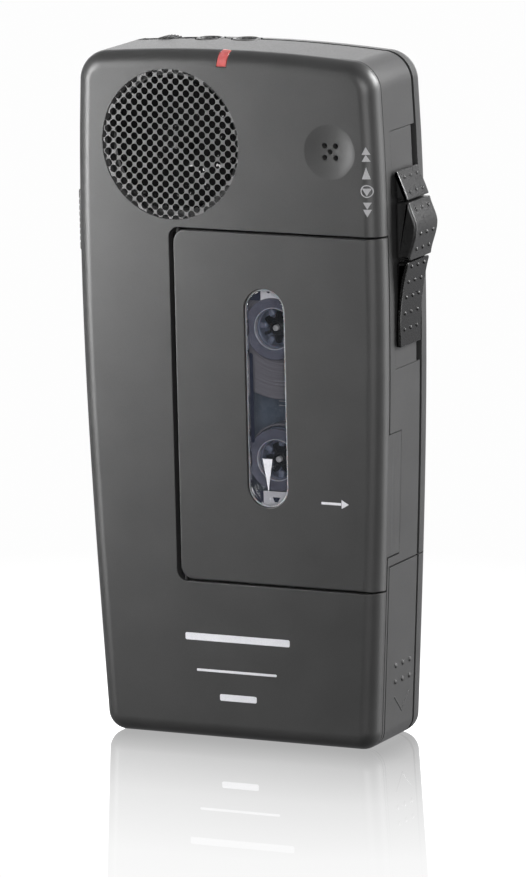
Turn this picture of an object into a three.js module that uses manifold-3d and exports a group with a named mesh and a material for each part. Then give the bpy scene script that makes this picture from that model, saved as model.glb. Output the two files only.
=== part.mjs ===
// A pocket dictation machine with a cassette bay behind a side-hinged front door.
// Millimetres. X runs to the user's right, +Y to the back, +Z up. The machine stands on
// its lower end, and the origin is the centre of that resting face.
import * as THREE from 'three';
import { mergeVertices } from 'three/addons/utils/BufferGeometryUtils.js';
import Module from 'manifold-3d';

const wasm = await Module();
wasm.setup();

// ---------------------------------------------------------------- driving dimensions
const HEIGHT = 125;
const FRONT = -11;
const BACK = 11;
const WALL = 1.6;
const CLEAR = 0.3;
const PARTING = 5.4;
const PARTING_GAP = 0.5;

const WIDEST_Z = 86;
const WIDEST_HALF = 30.15;
const FOOT_HALF = 26.85;
const SHOULDER_CURVE = 0.0007;
const CROWN_RADIUS = 278;
const TOP_CORNER = 5.5;
const FOOT_CORNER = 3.6;
const FRONT_FILLET = 3.2;
const BACK_FILLET = 4;

const DOOR = { left: -10.6, bottom: 29.3, top: 92.75, seamY: -7.85, corner: 2.4, hingeGap: 1 };
const DOOR_AXIS = { x: -9.9, y: -10.05 };
const TAB = { bottom: 35.2, top: 57.3, endY: -2.7 };
const WINDOW = { x: 7.1, bottom: 43.34, top: 82.82, radius: 3.95 };

const GRILLE = { x: -10.6, z: 107.95, radius: 13.45, front: -10.85, thickness: 0.8 };
const MIC = { x: 20.6, z: 108, dimpleRadius: 4.75, dimpleDepth: 0.6, capsuleRadius: 3 };
const LAMP = { left: -1.1, right: 0.7, bottom: 122.3, endY: -7.7 };

const REEL_X = 7.9;
const SUPPLY_Z = 75.4;
const TAKEUP_Z = 51.65;
const SUPPLY_PACK = 13.1;
const TAKEUP_PACK = 6.25;
const CASSETTE = { left: -9.6, right: 24.4, bottom: 35.4, top: 91.4, front: -8.9, back: -0.9, wall: 0.9 };
const MOUTH = { bottom: 56.6, top: 70.1 };

const DECK = { front: -0.3, back: 0.7, left: -26.2, right: 25.4, bottom: 34.2, top: 116.5 };
const MOTOR = { x: -19.6, z: 46, radius: 6.6, pulley: 1.8 };
const FLYWHEEL = { x: -1.3, z: 63.53, radius: 7.6, hub: 2.6 };
const BELT_PLANE = { front: 4.9, back: 5.7 };
const IDLER_ORBIT = 6.1;
const IDLER_RADIUS = 3.4;
const REEL_WHEEL = 7.5;

const SWITCH = { bottom: 68.5, top: 111.5, frontY: -5.5, slotY: 3.5 };
const THUMB = { front: -5.2, back: 3.9, base: 30.45 };
const KEY = { bottom: 87.1, top: 98.5, front: -7, back: -3.2, proud: -31.25 };
const INDEX = { z: 100.85, y: -5.1, radius: 1.3, proud: -31.5 };

const WHEEL = { x: -18.7, z: 119.57, radius: 5.2, front: 5, back: 7.8, teeth: 32 };
const JACKS = { earphone: -10.2, microphone: -3, rim: 2.6, bore: 1.8, bottom: 113, shoulder: 121.5 };

const CELL = { radius: 7.1, left: -24.4, right: 24.8, nub: 1, upperZ: 24.2, lowerZ: 9.2 };
const HATCH = { left: 23.9, front: -6.6, back: PARTING - PARTING_GAP / 2, top: 33.05 };
const SCREWS = [[-23.3, 112.6], [23.3, 112.6], [-22.6, 37.2], [22.6, 37.2]];
const BOARD = { front: 8.1, back: 9, left: -23, right: 22, bottom: 40, top: 110 };

// ---------------------------------------------------------------- materials
const finish = (color, roughness, metalness = 0, extra = {}) =>
  new THREE.MeshStandardMaterial({ color, roughness, metalness, ...extra });

const casePlastic = finish(0x4b4a4b, 0.62);
const grillePlastic = finish(0x353435, 0.6);
const thumbPlastic = finish(0x2c2b2d, 0.55);
const blackPlastic = finish(0x17171a, 0.45);
const whitePlastic = finish(0xe6e7e8, 0.4);
const smokeClear = finish(0x8f9aa8, 0.12, 0, { transparent: true, opacity: 0.35 });
const tapeBrown = finish(0x3d2c22, 0.35);
const redClear = finish(0xd8343c, 0.2, 0, { transparent: true, opacity: 0.8 });
const steel = finish(0xb9bcc0, 0.3, 1);
const brass = finish(0xc0a15a, 0.35, 1);
const rubber = finish(0x1b1b1b, 0.9);
const boardGreen = finish(0x1f5c3a, 0.5);
const deckMetal = finish(0x9da1a6, 0.45, 1);
const conePaper = finish(0x1d1d1f, 0.85);
const cellWrap = finish(0x6d7580, 0.35, 0.3);

// ---------------------------------------------------------------- solid helpers
function signedVolume(position, index) {
  const a = new THREE.Vector3();
  const b = new THREE.Vector3();
  const c = new THREE.Vector3();
  let sum = 0;
  for (let i = 0; i < index.length; i += 3) {
    a.fromBufferAttribute(position, index[i]);
    b.fromBufferAttribute(position, index[i + 1]);
    c.fromBufferAttribute(position, index[i + 2]);
    sum += a.dot(b.cross(c));
  }
  return sum / 6;
}

function solid(geometry) {
  const bare = geometry.clone();
  bare.deleteAttribute('normal');
  bare.deleteAttribute('uv');
  const merged = mergeVertices(bare, 1e-5);
  const index = Uint32Array.from(merged.index.array);
  if (signedVolume(merged.attributes.position, index) < 0) {
    for (let i = 0; i < index.length; i += 3) {
      [index[i], index[i + 1]] = [index[i + 1], index[i]];
    }
  }
  const vertProperties = Float32Array.from(merged.attributes.position.array);
  return new wasm.Manifold(new wasm.Mesh({ numProp: 3, vertProperties, triVerts: index }));
}

function geometryOf(body) {
  const mesh = body.getMesh();
  const geometry = new THREE.BufferGeometry();
  geometry.setAttribute('position', new THREE.BufferAttribute(Float32Array.from(mesh.vertProperties), 3));
  geometry.setIndex(new THREE.BufferAttribute(Uint32Array.from(mesh.triVerts), 1));
  geometry.computeVertexNormals();
  return geometry;
}

const join = (...bodies) => bodies.reduce((sum, body) => sum.add(body));
const cut = (body, ...tools) => tools.reduce((rest, tool) => rest.subtract(tool), body);

function block([x0, x1], [y0, y1], [z0, z1]) {
  const geometry = new THREE.BoxGeometry(x1 - x0, y1 - y0, z1 - z0);
  return solid(geometry.translate((x0 + x1) / 2, (y0 + y1) / 2, (z0 + z1) / 2));
}

// A flat outline in X and Z, extruded from y0 back to y1.
function plate(shape, y0, y1, curveSegments = 6) {
  const geometry = new THREE.ExtrudeGeometry(shape, { depth: y1 - y0, bevelEnabled: false, curveSegments });
  return solid(geometry.rotateX(Math.PI / 2).translate(0, y1, 0));
}

// A turned body about an axis along Y; the profile lists [radius, y] pairs.
function turned(profile, x, z, segments = 24) {
  const points = profile.map(([radius, y]) => new THREE.Vector2(radius, y));
  return solid(new THREE.LatheGeometry(points, segments).translate(x, 0, z));
}

function rodY(radius, y0, y1, x, z, segments = 16) {
  return turned([[0, y0], [radius, y0], [radius, y1], [0, y1]], x, z, segments);
}

function rodX(radius, x0, x1, y, z, segments = 24) {
  const geometry = new THREE.CylinderGeometry(radius, radius, x1 - x0, segments);
  return solid(geometry.rotateZ(Math.PI / 2).translate((x0 + x1) / 2, y, z));
}

function rodZ(radius, z0, z1, x, y, segments = 16) {
  const geometry = new THREE.CylinderGeometry(radius, radius, z1 - z0, segments);
  return solid(geometry.rotateX(Math.PI / 2).translate(x, y, (z0 + z1) / 2));
}

function ringY(inner, outer, y0, y1, x, z, segments = 24) {
  return turned([[inner, y0], [outer, y0], [outer, y1], [inner, y1], [inner, y0]], x, z, segments);
}

function roundedRect(left, right, bottom, top, radius) {
  const shape = new THREE.Shape();
  shape.moveTo(left + radius, bottom);
  shape.lineTo(right - radius, bottom);
  shape.absarc(right - radius, bottom + radius, radius, -Math.PI / 2, 0);
  shape.lineTo(right, top - radius);
  shape.absarc(right - radius, top - radius, radius, 0, Math.PI / 2);
  shape.lineTo(left + radius, top);
  shape.absarc(left + radius, top - radius, radius, Math.PI / 2, Math.PI);
  shape.lineTo(left, bottom + radius);
  shape.absarc(left + radius, bottom + radius, radius, Math.PI, 1.5 * Math.PI);
  return shape;
}

// ---------------------------------------------------------------- case outline
const flank = new THREE.CubicBezierCurve(
  new THREE.Vector2(FOOT_HALF, 0),
  new THREE.Vector2(FOOT_HALF + 1.6, 30),
  new THREE.Vector2(WIDEST_HALF, 57),
  new THREE.Vector2(WIDEST_HALF, WIDEST_Z),
);

const crownZ = (x) => HEIGHT - (x * x) / (2 * CROWN_RADIUS);

function halfWidth(z) {
  if (z >= WIDEST_Z) return WIDEST_HALF - SHOULDER_CURVE * (z - WIDEST_Z) ** 2;
  let low = 0;
  let high = 1;
  for (let step = 0; step < 24; step += 1) {
    const middle = (low + high) / 2;
    if (flank.getPoint(middle).y < z) low = middle;
    else high = middle;
  }
  return flank.getPoint(low).x;
}

function cornerArc(cx, cz, radius, from, to, steps) {
  const points = [];
  for (let i = 0; i <= steps; i += 1) {
    const angle = from + ((to - from) * i) / steps;
    points.push([cx + radius * Math.cos(angle), cz + radius * Math.sin(angle)]);
  }
  return points;
}

// The right half of the case outline, moved inwards by inset, from the foot up to the crown.
function rightOutline(inset) {
  const footR = Math.max(FOOT_CORNER - inset, 0.4);
  const topR = Math.max(TOP_CORNER - inset, 0.4);
  const footX = halfWidth(FOOT_CORNER) - inset - footR;
  const topX = halfWidth(HEIGHT - TOP_CORNER) - inset - topR;
  const topZ = crownZ(topX) - inset - topR;
  const points = cornerArc(footX, inset + footR, footR, -Math.PI / 2, 0, 3);
  for (const z of [22, 40, 58, 72, 86, 104]) points.push([halfWidth(z) - inset, z]);
  points.push(...cornerArc(topX, topZ, topR, 0, Math.PI / 2, 5));
  for (const x of [15, 7.5]) points.push([x, crownZ(x) - inset]);
  return points;
}

function outlineRing(inset, y) {
  const right = rightOutline(inset);
  const left = right.map(([x, z]) => [-x, z]).reverse();
  return [...right, ...left].map(([x, z]) => new THREE.Vector3(x, y, z));
}

// A closed body through rings of equal length, each end closed by a fan.
function loft(rings) {
  const count = rings[0].length;
  const points = rings.flat();
  const index = [];
  for (let r = 0; r < rings.length - 1; r += 1) {
    for (let i = 0; i < count; i += 1) {
      const a = r * count + i;
      const b = r * count + ((i + 1) % count);
      index.push(a, b, a + count, b, b + count, a + count);
    }
  }
  for (const [first, flip] of [[0, true], [(rings.length - 1) * count, false]]) {
    for (let i = 1; i < count - 1; i += 1) {
      index.push(first, first + (flip ? i + 1 : i), first + (flip ? i : i + 1));
    }
  }
  return solid(new THREE.BufferGeometry().setFromPoints(points).setIndex(index));
}

function caseBody(inset, steps) {
  const frontR = FRONT_FILLET - inset;
  const backR = BACK_FILLET - inset;
  const rings = [];
  for (const angle of steps.map((part) => (part * Math.PI) / 2)) {
    rings.push(outlineRing(inset + frontR * (1 - Math.sin(angle)), FRONT + FRONT_FILLET - frontR * Math.cos(angle)));
  }
  for (const angle of [...steps].reverse().map((part) => (part * Math.PI) / 2)) {
    rings.push(outlineRing(inset + backR * (1 - Math.sin(angle)), BACK - BACK_FILLET + backR * Math.cos(angle)));
  }
  return loft(rings);
}

const outside = caseBody(0, [0, 0.3, 0.65, 1]);
const inside = caseBody(WALL, [0, 0.5, 1]);
const skin = cut(outside, inside);

// ---------------------------------------------------------------- shared cutting regions
function stadium(radius) {
  const shape = new THREE.Shape();
  const low = WINDOW.bottom + WINDOW.radius;
  const high = WINDOW.top - WINDOW.radius;
  shape.absarc(WINDOW.x, high, radius, 0, Math.PI);
  shape.absarc(WINDOW.x, low, radius, Math.PI, 2 * Math.PI);
  return shape;
}

function doorRegion(grow, leftGrow) {
  const right = 45;
  const panel = roundedRect(
    DOOR.left - leftGrow, right, DOOR.bottom - grow, DOOR.top + grow, DOOR.corner + grow / 2,
  );
  const tab = block(
    [DOOR.left + 30, right],
    [DOOR.seamY - 1, TAB.endY + grow],
    [TAB.bottom - grow, TAB.top + grow],
  );
  return join(plate(panel, FRONT - 5, DOOR.seamY + grow), tab);
}

const hatchRegion = (grow) => block(
  [HATCH.left - grow, 45],
  [HATCH.front - grow, HATCH.back + grow],
  [-5, HATCH.top + grow],
);

const switchRegion = (grow, backY) => block(
  [20, 45],
  [SWITCH.frontY + CLEAR - grow, backY],
  [SWITCH.bottom + CLEAR - grow, SWITCH.top - CLEAR + grow],
);

const lampRegion = (grow) => block(
  [LAMP.left - grow, LAMP.right + grow],
  [FRONT - 5, LAMP.endY + grow],
  [LAMP.bottom - grow, HEIGHT + 5],
);

const keySlot = (grow) => block(
  [-45, -25],
  [KEY.front - grow, KEY.back + grow],
  [KEY.bottom - grow, KEY.top + grow],
);

const wheelSlot = block(
  [WHEEL.x - 5.6, WHEEL.x + 5.6],
  [WHEEL.front - CLEAR, WHEEL.back + CLEAR],
  [WHEEL.z, HEIGHT + 5],
);

const jackHoles = join(...[JACKS.earphone, JACKS.microphone].map(
  (x) => rodZ(JACKS.rim + CLEAR, JACKS.shoulder, HEIGHT + 5, x, PARTING, 20),
));

const pivotHoles = join(
  rodZ(0.72, 27.6, DOOR.bottom + 2, DOOR_AXIS.x, DOOR_AXIS.y, 10),
  rodZ(0.72, DOOR.top - 2, 94, DOOR_AXIS.x, DOOR_AXIS.y, 10),
);

// ---------------------------------------------------------------- case shells
function micDimple() {
  const chord = MIC.dimpleRadius;
  const radius = (chord ** 2 + MIC.dimpleDepth ** 2) / (2 * MIC.dimpleDepth);
  const centre = FRONT + MIC.dimpleDepth - radius;
  const profile = [[0, FRONT - 1], [chord, FRONT - 1], [chord, FRONT]];
  for (const part of [0.66, 0.33, 0]) {
    const r = chord * part;
    profile.push([r, centre + Math.sqrt(radius ** 2 - r ** 2)]);
  }
  return turned(profile, MIC.x, MIC.z, 20);
}

function micHoles() {
  const spots = [[0, 0], [1.05, 1.05], [-1.05, 1.05], [-1.05, -1.05], [1.05, -1.05]];
  return join(...spots.map(([dx, dz]) => rodY(0.45, FRONT - 1, FRONT + 3, MIC.x + dx, MIC.z + dz, 6)));
}

function chassisPosts() {
  const spots = [[-24.6, 56.5], [-24.6, 83], [24.2, 114.8]];
  return join(...spots.map(([x, z]) => rodY(1.7, FRONT + WALL - 0.2, DECK.front - CLEAR, x, z, 12)));
}

function frontCover() {
  const frontHalf = block([-45, 45], [-20, PARTING - PARTING_GAP / 2], [-5, HEIGHT + 5]);
  const body = cut(
    join(skin.intersect(frontHalf), chassisPosts()),
    doorRegion(0.45, DOOR.hingeGap),
    hatchRegion(CLEAR),
    switchRegion(CLEAR, 10),
    lampRegion(CLEAR),
    keySlot(CLEAR),
    rodX(INDEX.radius + CLEAR, -45, -25, INDEX.y, INDEX.z, 12),
    rodY(GRILLE.radius + CLEAR, FRONT - 1, FRONT + 1.1, GRILLE.x, GRILLE.z, 48),
    rodY(GRILLE.radius - 0.5, FRONT - 1, FRONT + 3, GRILLE.x, GRILLE.z, 48),
    micDimple(),
    micHoles(),
    wheelSlot,
    jackHoles,
    pivotHoles,
  );
  return body;
}

function rearCover() {
  const backHalf = block([-45, 45], [PARTING + PARTING_GAP / 2, 20], [-5, HEIGHT + 5]);
  const bosses = join(...SCREWS.map(([x, z]) => rodY(2.3, 8.2, BACK - WALL + 0.2, x, z, 12)));
  const sinks = SCREWS.map(([x, z]) => join(
    rodY(1.9, 9.7, BACK + 1, x, z, 14),
    rodY(0.95, 5, BACK + 1, x, z, 8),
  ));
  return cut(join(skin.intersect(backHalf), bosses), ...sinks, wheelSlot, jackHoles);
}

function caseScrew([x, z]) {
  const driveSlot = block([x - 2, x + 2], [10.25, 12], [z - 0.25, z + 0.25]);
  const body = turned([[0, 2], [0.65, 2], [0.65, 9.9], [1.6, 9.9], [1.6, 10.4], [1.2, 10.7], [0, 10.7]], x, z, 10);
  return cut(body, driveSlot);
}

// ---------------------------------------------------------------- cassette door
function cassetteDoor() {
  const hingeRib = block([DOOR.left, -8.9], [FRONT + WALL - 0.2, -9.15], [DOOR.bottom + 0.5, DOOR.top - 0.5]);
  const catchNub = block([27.3, 28.6], [-4.7, -3.4], [44, 49]);
  return cut(
    join(skin.intersect(doorRegion(0, 0)), hingeRib, catchNub),
    plate(stadium(WINDOW.radius), FRONT - 1, FRONT + 3, 10),
    plate(stadium(WINDOW.radius + 1.1), FRONT + 0.9, FRONT + 3, 8),
    pivotHoles,
  );
}

function doorWindow() {
  const lens = plate(stadium(WINDOW.radius - CLEAR), FRONT + 0.3, FRONT + 1.5, 10);
  const flange = plate(stadium(WINDOW.radius + 0.8), FRONT + 1.2, FRONT + 1.6, 8);
  return join(lens, flange);
}

const hingePin = (z0, z1) => rodZ(0.38, z0, z1, DOOR_AXIS.x, DOOR_AXIS.y, 10);

// ---------------------------------------------------------------- speaker and microphone
function speakerGrille() {
  const disc = new THREE.Shape();
  disc.absarc(0, 0, GRILLE.radius, 0, 2 * Math.PI);
  const pitch = 1.62;
  const hole = 0.86;
  const reach = GRILLE.radius - 1.3;
  for (let row = -8; row <= 8; row += 1) {
    for (let column = -8; column <= 8; column += 1) {
      const x = column * pitch;
      const z = row * pitch;
      if ((row + column) % 2 !== 0 || Math.hypot(x, z) > reach) continue;
      const path = new THREE.Path();
      path.moveTo(x + hole, z);
      path.lineTo(x, z - hole);
      path.lineTo(x - hole, z);
      path.lineTo(x, z + hole);
      path.closePath();
      disc.holes.push(path);
    }
  }
  return plate(disc, GRILLE.front, GRILLE.front + GRILLE.thickness, 24).translate([GRILLE.x, 0, GRILLE.z]);
}

function speakerFrame() {
  const profile = [
    [12.4, -9.1], [14, -9.1], [14, -8.5], [13.2, -8.4], [8.6, -5.2], [5.2, -5.2], [5.2, -5.8], [8.2, -5.8],
    [12.4, -8.7], [12.4, -9.1],
  ];
  return turned(profile, GRILLE.x, GRILLE.z, 22);
}

function speakerCone() {
  const profile = [
    [0, -7.6], [2.6, -6.9], [3.4, -6.5], [11, -8.9], [11.7, -8.9], [11.7, -8.6], [11, -8.5], [4.6, -6.2],
    [4.6, -5.1], [0, -5.1],
  ];
  return turned(profile, GRILLE.x, GRILLE.z, 20);
}

function speakerMagnet() {
  return rodY(7.6, -4.9, -1.3, GRILLE.x, GRILLE.z, 24);
}

const microphoneCapsule = () => rodY(MIC.capsuleRadius, -8.9, -6, MIC.x, MIC.z, 20);
const microphoneBoot = () => turned(
  [[3.3, -9.1], [4.3, -9.1], [4.3, -5.3], [0, -5.3], [0, -5.7], [3.3, -5.7], [3.3, -9.1]], MIC.x, MIC.z, 20,
);

// ---------------------------------------------------------------- cassette
function reelHoles(radius) {
  return join(...[SUPPLY_Z, TAKEUP_Z].map((z) => rodY(radius, -10, 0, REEL_X, z, 20)));
}

function mouthRegion() {
  return block([CASSETTE.right - 3, CASSETTE.right + 1], [CASSETTE.front + 1.2, CASSETTE.back - 1.2],
    [MOUTH.bottom, MOUTH.top]);
}

function cassetteHalf(y0, y1, plateFront) {
  const c = CASSETTE;
  const outer = plate(roundedRect(c.left, c.right, c.bottom, c.top, 1.6), y0, y1, 3);
  const [p0, p1] = plateFront ? [y0 + c.wall, y1 + 1] : [y0 - 1, y1 - c.wall];
  const pocket = plate(
    roundedRect(c.left + c.wall, c.right - c.wall, c.bottom + c.wall, c.top - c.wall, 0.7), p0, p1, 3,
  );
  return cut(outer, pocket, reelHoles(4.4), mouthRegion());
}

function reelHub(z) {
  const ring = ringY(3.75, 5.65, -7.6, -2.3, REEL_X, z, 20);
  const teeth = [];
  for (let i = 0; i < 6; i += 1) {
    const tooth = block([2.95, 4.2], [-6.9, -3], [-0.35, 0.35]);
    teeth.push(tooth.rotate([0, 60 * i + 30, 0]).translate([REEL_X, 0, z]));
  }
  return join(ring, ...teeth);
}

const tapePack = (radius, z) => ringY(5.95, radius, -6.8, -3.1, REEL_X, z, 28);

function pressurePad() {
  const spring = block([19.9, 20.2], [-6.6, -3.3], [57.5, 68]);
  const pad = block([20.2, 22.3], [-6.2, -3.7], [61, 64.6]);
  return join(spring, pad);
}

// ---------------------------------------------------------------- reel drive
function reelSpindle(z) {
  const core = turned([
    [0.85, -7.9], [1.4, -7.9], [1.75, -7.4], [1.75, 1.1], [REEL_WHEEL, 1.1], [REEL_WHEEL, 3.1], [0.85, 3.1], [0.85, -7.9],
  ], REEL_X, z, 24);
  const wings = [];
  for (let i = 0; i < 6; i += 1) {
    const wing = block([1.2, 3.1], [-6.9, -2.2], [-0.3, 0.3]);
    wings.push(wing.rotate([0, 60 * i, 0]).translate([REEL_X, 0, z]));
  }
  return join(core, ...wings);
}

const reelAxle = (z) => turned(
  [[0, -8.3], [0.35, -8.3], [0.55, -8.1], [0.55, 3.9], [0, 3.9]], REEL_X, z, 12,
);

function flywheel() {
  const profile = [
    [1.2, 1.1], [FLYWHEEL.hub, 1.1], [FLYWHEEL.hub, 3.1], [1.9, 3.1], [1.9, 4.4], [FLYWHEEL.radius, 4.4],
    [FLYWHEEL.radius, 6.2], [6.4, 6.2], [6.4, 5.5], [2.4, 5.5], [2.4, 6.2], [1.2, 6.2], [1.2, 1.1],
  ];
  return turned(profile, FLYWHEEL.x, FLYWHEEL.z, 28);
}

function idlerArm() {
  const ring = ringY(2.2, 3.3, 3.4, 4.1, FLYWHEEL.x, FLYWHEEL.z, 20);
  const axisX = FLYWHEEL.x + IDLER_ORBIT;
  const bar = block([FLYWHEEL.x + 2.6, axisX + 1], [3.4, 4.1], [FLYWHEEL.z - 0.9, FLYWHEEL.z + 0.9]);
  const pin = rodY(0.6, 0.95, 3.6, axisX, FLYWHEEL.z, 10);
  return join(ring, bar, pin);
}

const idlerWheel = () => ringY(0.9, IDLER_RADIUS, 1.2, 3, FLYWHEEL.x + IDLER_ORBIT, FLYWHEEL.z, 28);

// The belt is one closed band round both pulleys, drawn as the outer path less the inner one.
function beltPath(extra) {
  const run = new THREE.Vector2(FLYWHEEL.x - MOTOR.x, FLYWHEEL.z - MOTOR.z);
  const big = FLYWHEEL.radius + extra;
  const small = MOTOR.pulley + extra;
  const lean = Math.acos((big - small) / run.length());
  const heading = run.angle();
  const path = new THREE.Shape();
  path.absarc(FLYWHEEL.x, FLYWHEEL.z, big, heading + Math.PI + lean, heading + Math.PI - lean + 2 * Math.PI);
  path.absarc(MOTOR.x, MOTOR.z, small, heading + Math.PI - lean, heading + Math.PI + lean);
  return path;
}

function driveBelt() {
  const outer = plate(beltPath(1), BELT_PLANE.front, BELT_PLANE.back, 14);
  return cut(outer, plate(beltPath(CLEAR), BELT_PLANE.front - 1, BELT_PLANE.back + 1, 14));
}

function motor() {
  const r = MOTOR.radius;
  const profile = [[0, -8.9], [r - 0.6, -8.9], [r, -8.4], [r, -1], [2.2, -1], [2.2, -0.65], [1, -0.65], [1, -4], [0, -4]];
  return turned(profile, MOTOR.x, MOTOR.z, 22);
}

const motorPulley = () => turned(
  [[0, -3.6], [0.5, -3.6], [0.5, 4.4], [MOTOR.pulley, 4.4], [MOTOR.pulley, 6.2], [0, 6.2]], MOTOR.x, MOTOR.z, 14,
);

function deckPlate() {
  const d = DECK;
  const sheet = plate(roundedRect(d.left, d.right, d.bottom, d.top, 1.5), d.front, d.back, 3);
  const posts = SCREWS.map(([x, z]) => rodY(1.9, d.back - 0.2, 7.9, x, z, 10));
  const pivot = rodY(0.9, d.back - 0.2, 6.9, FLYWHEEL.x, FLYWHEEL.z, 12);
  const bores = SCREWS.map(([x, z]) => rodY(0.95, 1.5, 9, x, z, 8));
  const openings = [
    rodY(2.2, -2, 2, REEL_X, SUPPLY_Z, 16),
    rodY(2.2, -2, 2, REEL_X, TAKEUP_Z, 16),
    rodY(1.2, -2, 2, MOTOR.x, MOTOR.z, 12),
  ];
  return cut(join(sheet, ...posts, pivot), ...bores, ...openings);
}

// ---------------------------------------------------------------- heads
function headCarriage() {
  const base = block([26.1, 27.6], [-2.6, -0.6], [55.5, 70]);
  const ear = block([26.1, 27.6], [-4.8, -0.6], [68.4, 70]);
  return join(base, ear);
}

const recordPlayHead = () => join(
  block([25.4, 27.6], [-7.2, -2.9], [60, 65.6]),
  rodY(1.6, -6.9, -3.2, 26.4, 62.8, 16),
);

const eraseHead = () => block([25.2, 27.6], [-6.8, -2.9], [57, 58.9]);

// ---------------------------------------------------------------- slide switch
const padTop = [
  [THUMB.base, 99.05], [32.9, 99.05], [30.95, 103.9], [30.75, 104.2], [THUMB.base, 104.2],
];

function padMiddle() {
  const shape = new THREE.Shape();
  shape.moveTo(THUMB.base, 88.35);
  shape.lineTo(33.1, 88.35);
  shape.bezierCurveTo(33.3, 90.4, 34.4, 91.9, 34.5, 94.2);
  shape.bezierCurveTo(34.5, 95.6, 33.3, 97.4, 33.1, 98.7);
  shape.lineTo(THUMB.base, 98.7);
  return shape;
}

function padBottom() {
  const shape = new THREE.Shape();
  shape.moveTo(THUMB.base, 72.6);
  shape.lineTo(30.8, 72.6);
  shape.bezierCurveTo(30.8, 77.6, 31.2, 82.6, 32.8, 88);
  shape.lineTo(THUMB.base, 88);
  return shape;
}

const carrierPlate = (grow) => block(
  [THUMB.base - grow, 31.1 + grow],
  [-3.9 - grow, 2.6 + grow],
  [84 - grow, 101 + grow],
);

const carrierShelf = (grow) => block(
  [THUMB.base - grow, 31.1 + grow],
  [2, 4.9],
  [86 - grow, 97 + grow],
);

const thumbPad = (shape) => cut(
  plate(shape, THUMB.front, THUMB.back, 8), carrierPlate(CLEAR), carrierShelf(CLEAR),
);

function slideCarrier() {
  const leg = block([27, 31.1], [4.1, 4.9], [86, 97]);
  const slider = block([26, 28], [1.2, 4.9], [86, 97]);
  return join(carrierPlate(0), carrierShelf(0), leg, slider);
}

const selectorSwitch = () => block([22.5, 27.5], [5.3, 7.9], [78, 106]);

// ---------------------------------------------------------------- side keys
function recordKey() {
  const shape = new THREE.Shape();
  shape.moveTo(-28, KEY.bottom);
  shape.lineTo(-28, KEY.top);
  shape.lineTo(-30.3, KEY.top);
  shape.quadraticCurveTo(KEY.proud, KEY.top, KEY.proud, KEY.top - 1.2);
  shape.lineTo(KEY.proud, KEY.bottom + 1.2);
  shape.quadraticCurveTo(KEY.proud, KEY.bottom, -30.3, KEY.bottom);
  const flange = block([-28.1, -27.5], [KEY.front - 0.6, KEY.back + 0.8], [KEY.bottom - 0.4, KEY.top + 0.4]);
  return join(plate(shape, KEY.front, KEY.back, 4), flange);
}

function indexButton() {
  const profile = [
    [0, 0], [1.6, 0], [1.6, 0.6], [INDEX.radius, 0.6], [INDEX.radius, 3], [0.95, 3.7], [0, 4],
  ].map(([radius, y]) => new THREE.Vector2(radius, y));
  const geometry = new THREE.LatheGeometry(profile, 16).rotateZ(Math.PI / 2);
  return solid(geometry.translate(INDEX.proud + 4, INDEX.y, INDEX.z));
}

const recordSwitch = () => block([-26.4, -24], [-6.6, -3.6], [89.5, 102]);

// ---------------------------------------------------------------- top end
function volumeWheel() {
  const shape = new THREE.Shape();
  for (let i = 0; i < WHEEL.teeth * 2; i += 1) {
    const angle = (i * Math.PI) / WHEEL.teeth;
    const radius = WHEEL.radius - (i % 2 ? 0.3 : 0);
    const x = WHEEL.x + radius * Math.cos(angle);
    const z = WHEEL.z + radius * Math.sin(angle);
    if (i === 0) shape.moveTo(x, z);
    else shape.lineTo(x, z);
  }
  return cut(
    plate(shape, WHEEL.front, WHEEL.back),
    rodY(1.1, WHEEL.front - 1, WHEEL.back + 1, WHEEL.x, WHEEL.z, 12),
  );
}

const volumePot = () => join(
  rodY(3.4, 1.6, 4.6, WHEEL.x, WHEEL.z - 1.4, 24),
  rodY(0.8, 4, 7.6, WHEEL.x, WHEEL.z, 12),
);

function jack(x) {
  const body = block([x - 2.8, x + 2.8], [2.8, 8], [JACKS.bottom, JACKS.shoulder - 0.6]);
  const collar = rodZ(JACKS.rim, JACKS.shoulder - 1, crownZ(x) + 0.12, x, PARTING, 20);
  return cut(join(body, collar), rodZ(JACKS.bore, JACKS.bottom + 1, HEIGHT + 5, x, PARTING, 16));
}

const lightPipe = () => skin.intersect(lampRegion(0));
const recordLed = () => block([-1.4, 1], [-7.6, -5.6], [119.6, 122.2]);

// ---------------------------------------------------------------- power
function cell(z, nubOnLeft) {
  const { radius, left, right, nub } = CELL;
  const [bodyLeft, bodyRight] = nubOnLeft ? [left + nub, right] : [left, right - nub];
  const can = rodX(radius, bodyLeft, bodyRight, 0, z, 28);
  const [n0, n1] = nubOnLeft ? [left, left + nub + 0.5] : [right - nub - 0.5, right];
  return join(can, rodX(2.6, n0, n1, 0, z, 16));
}

const leafContact = (z) => join(
  block([-25.3, -24.95], [-3.5, 3.5], [z - 3.4, z + 3.4]),
  rodX(1.6, -25.1, CELL.left - 0.25, 0, z, 12),
);

const bridgeContact = () => block([25.05, 25.35], [-3.5, 2.6], [6.5, 27]);

const batteryBulkhead = () => block([-25.6, 25.4], [-8.8, 8.6], [31.7, 32.9]);

function batteryCover() {
  const tongue = join(
    block([25.9, 27.5], [-4.5, -0.8], [30.6, 32.8]),
    block([25.9, 26.6], [-4.5, -0.8], [30.6, 36]),
  );
  const grips = [];
  for (const z of [14.45, 11.5]) {
    for (const y of [-2.95, 0, 2.95]) {
      const x = halfWidth(z);
      grips.push(rodX(0.45, x - 0.5, x + 0.25, y + 0.3, z, 8));
    }
  }
  return join(skin.intersect(hatchRegion(0)), tongue, ...grips);
}

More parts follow.
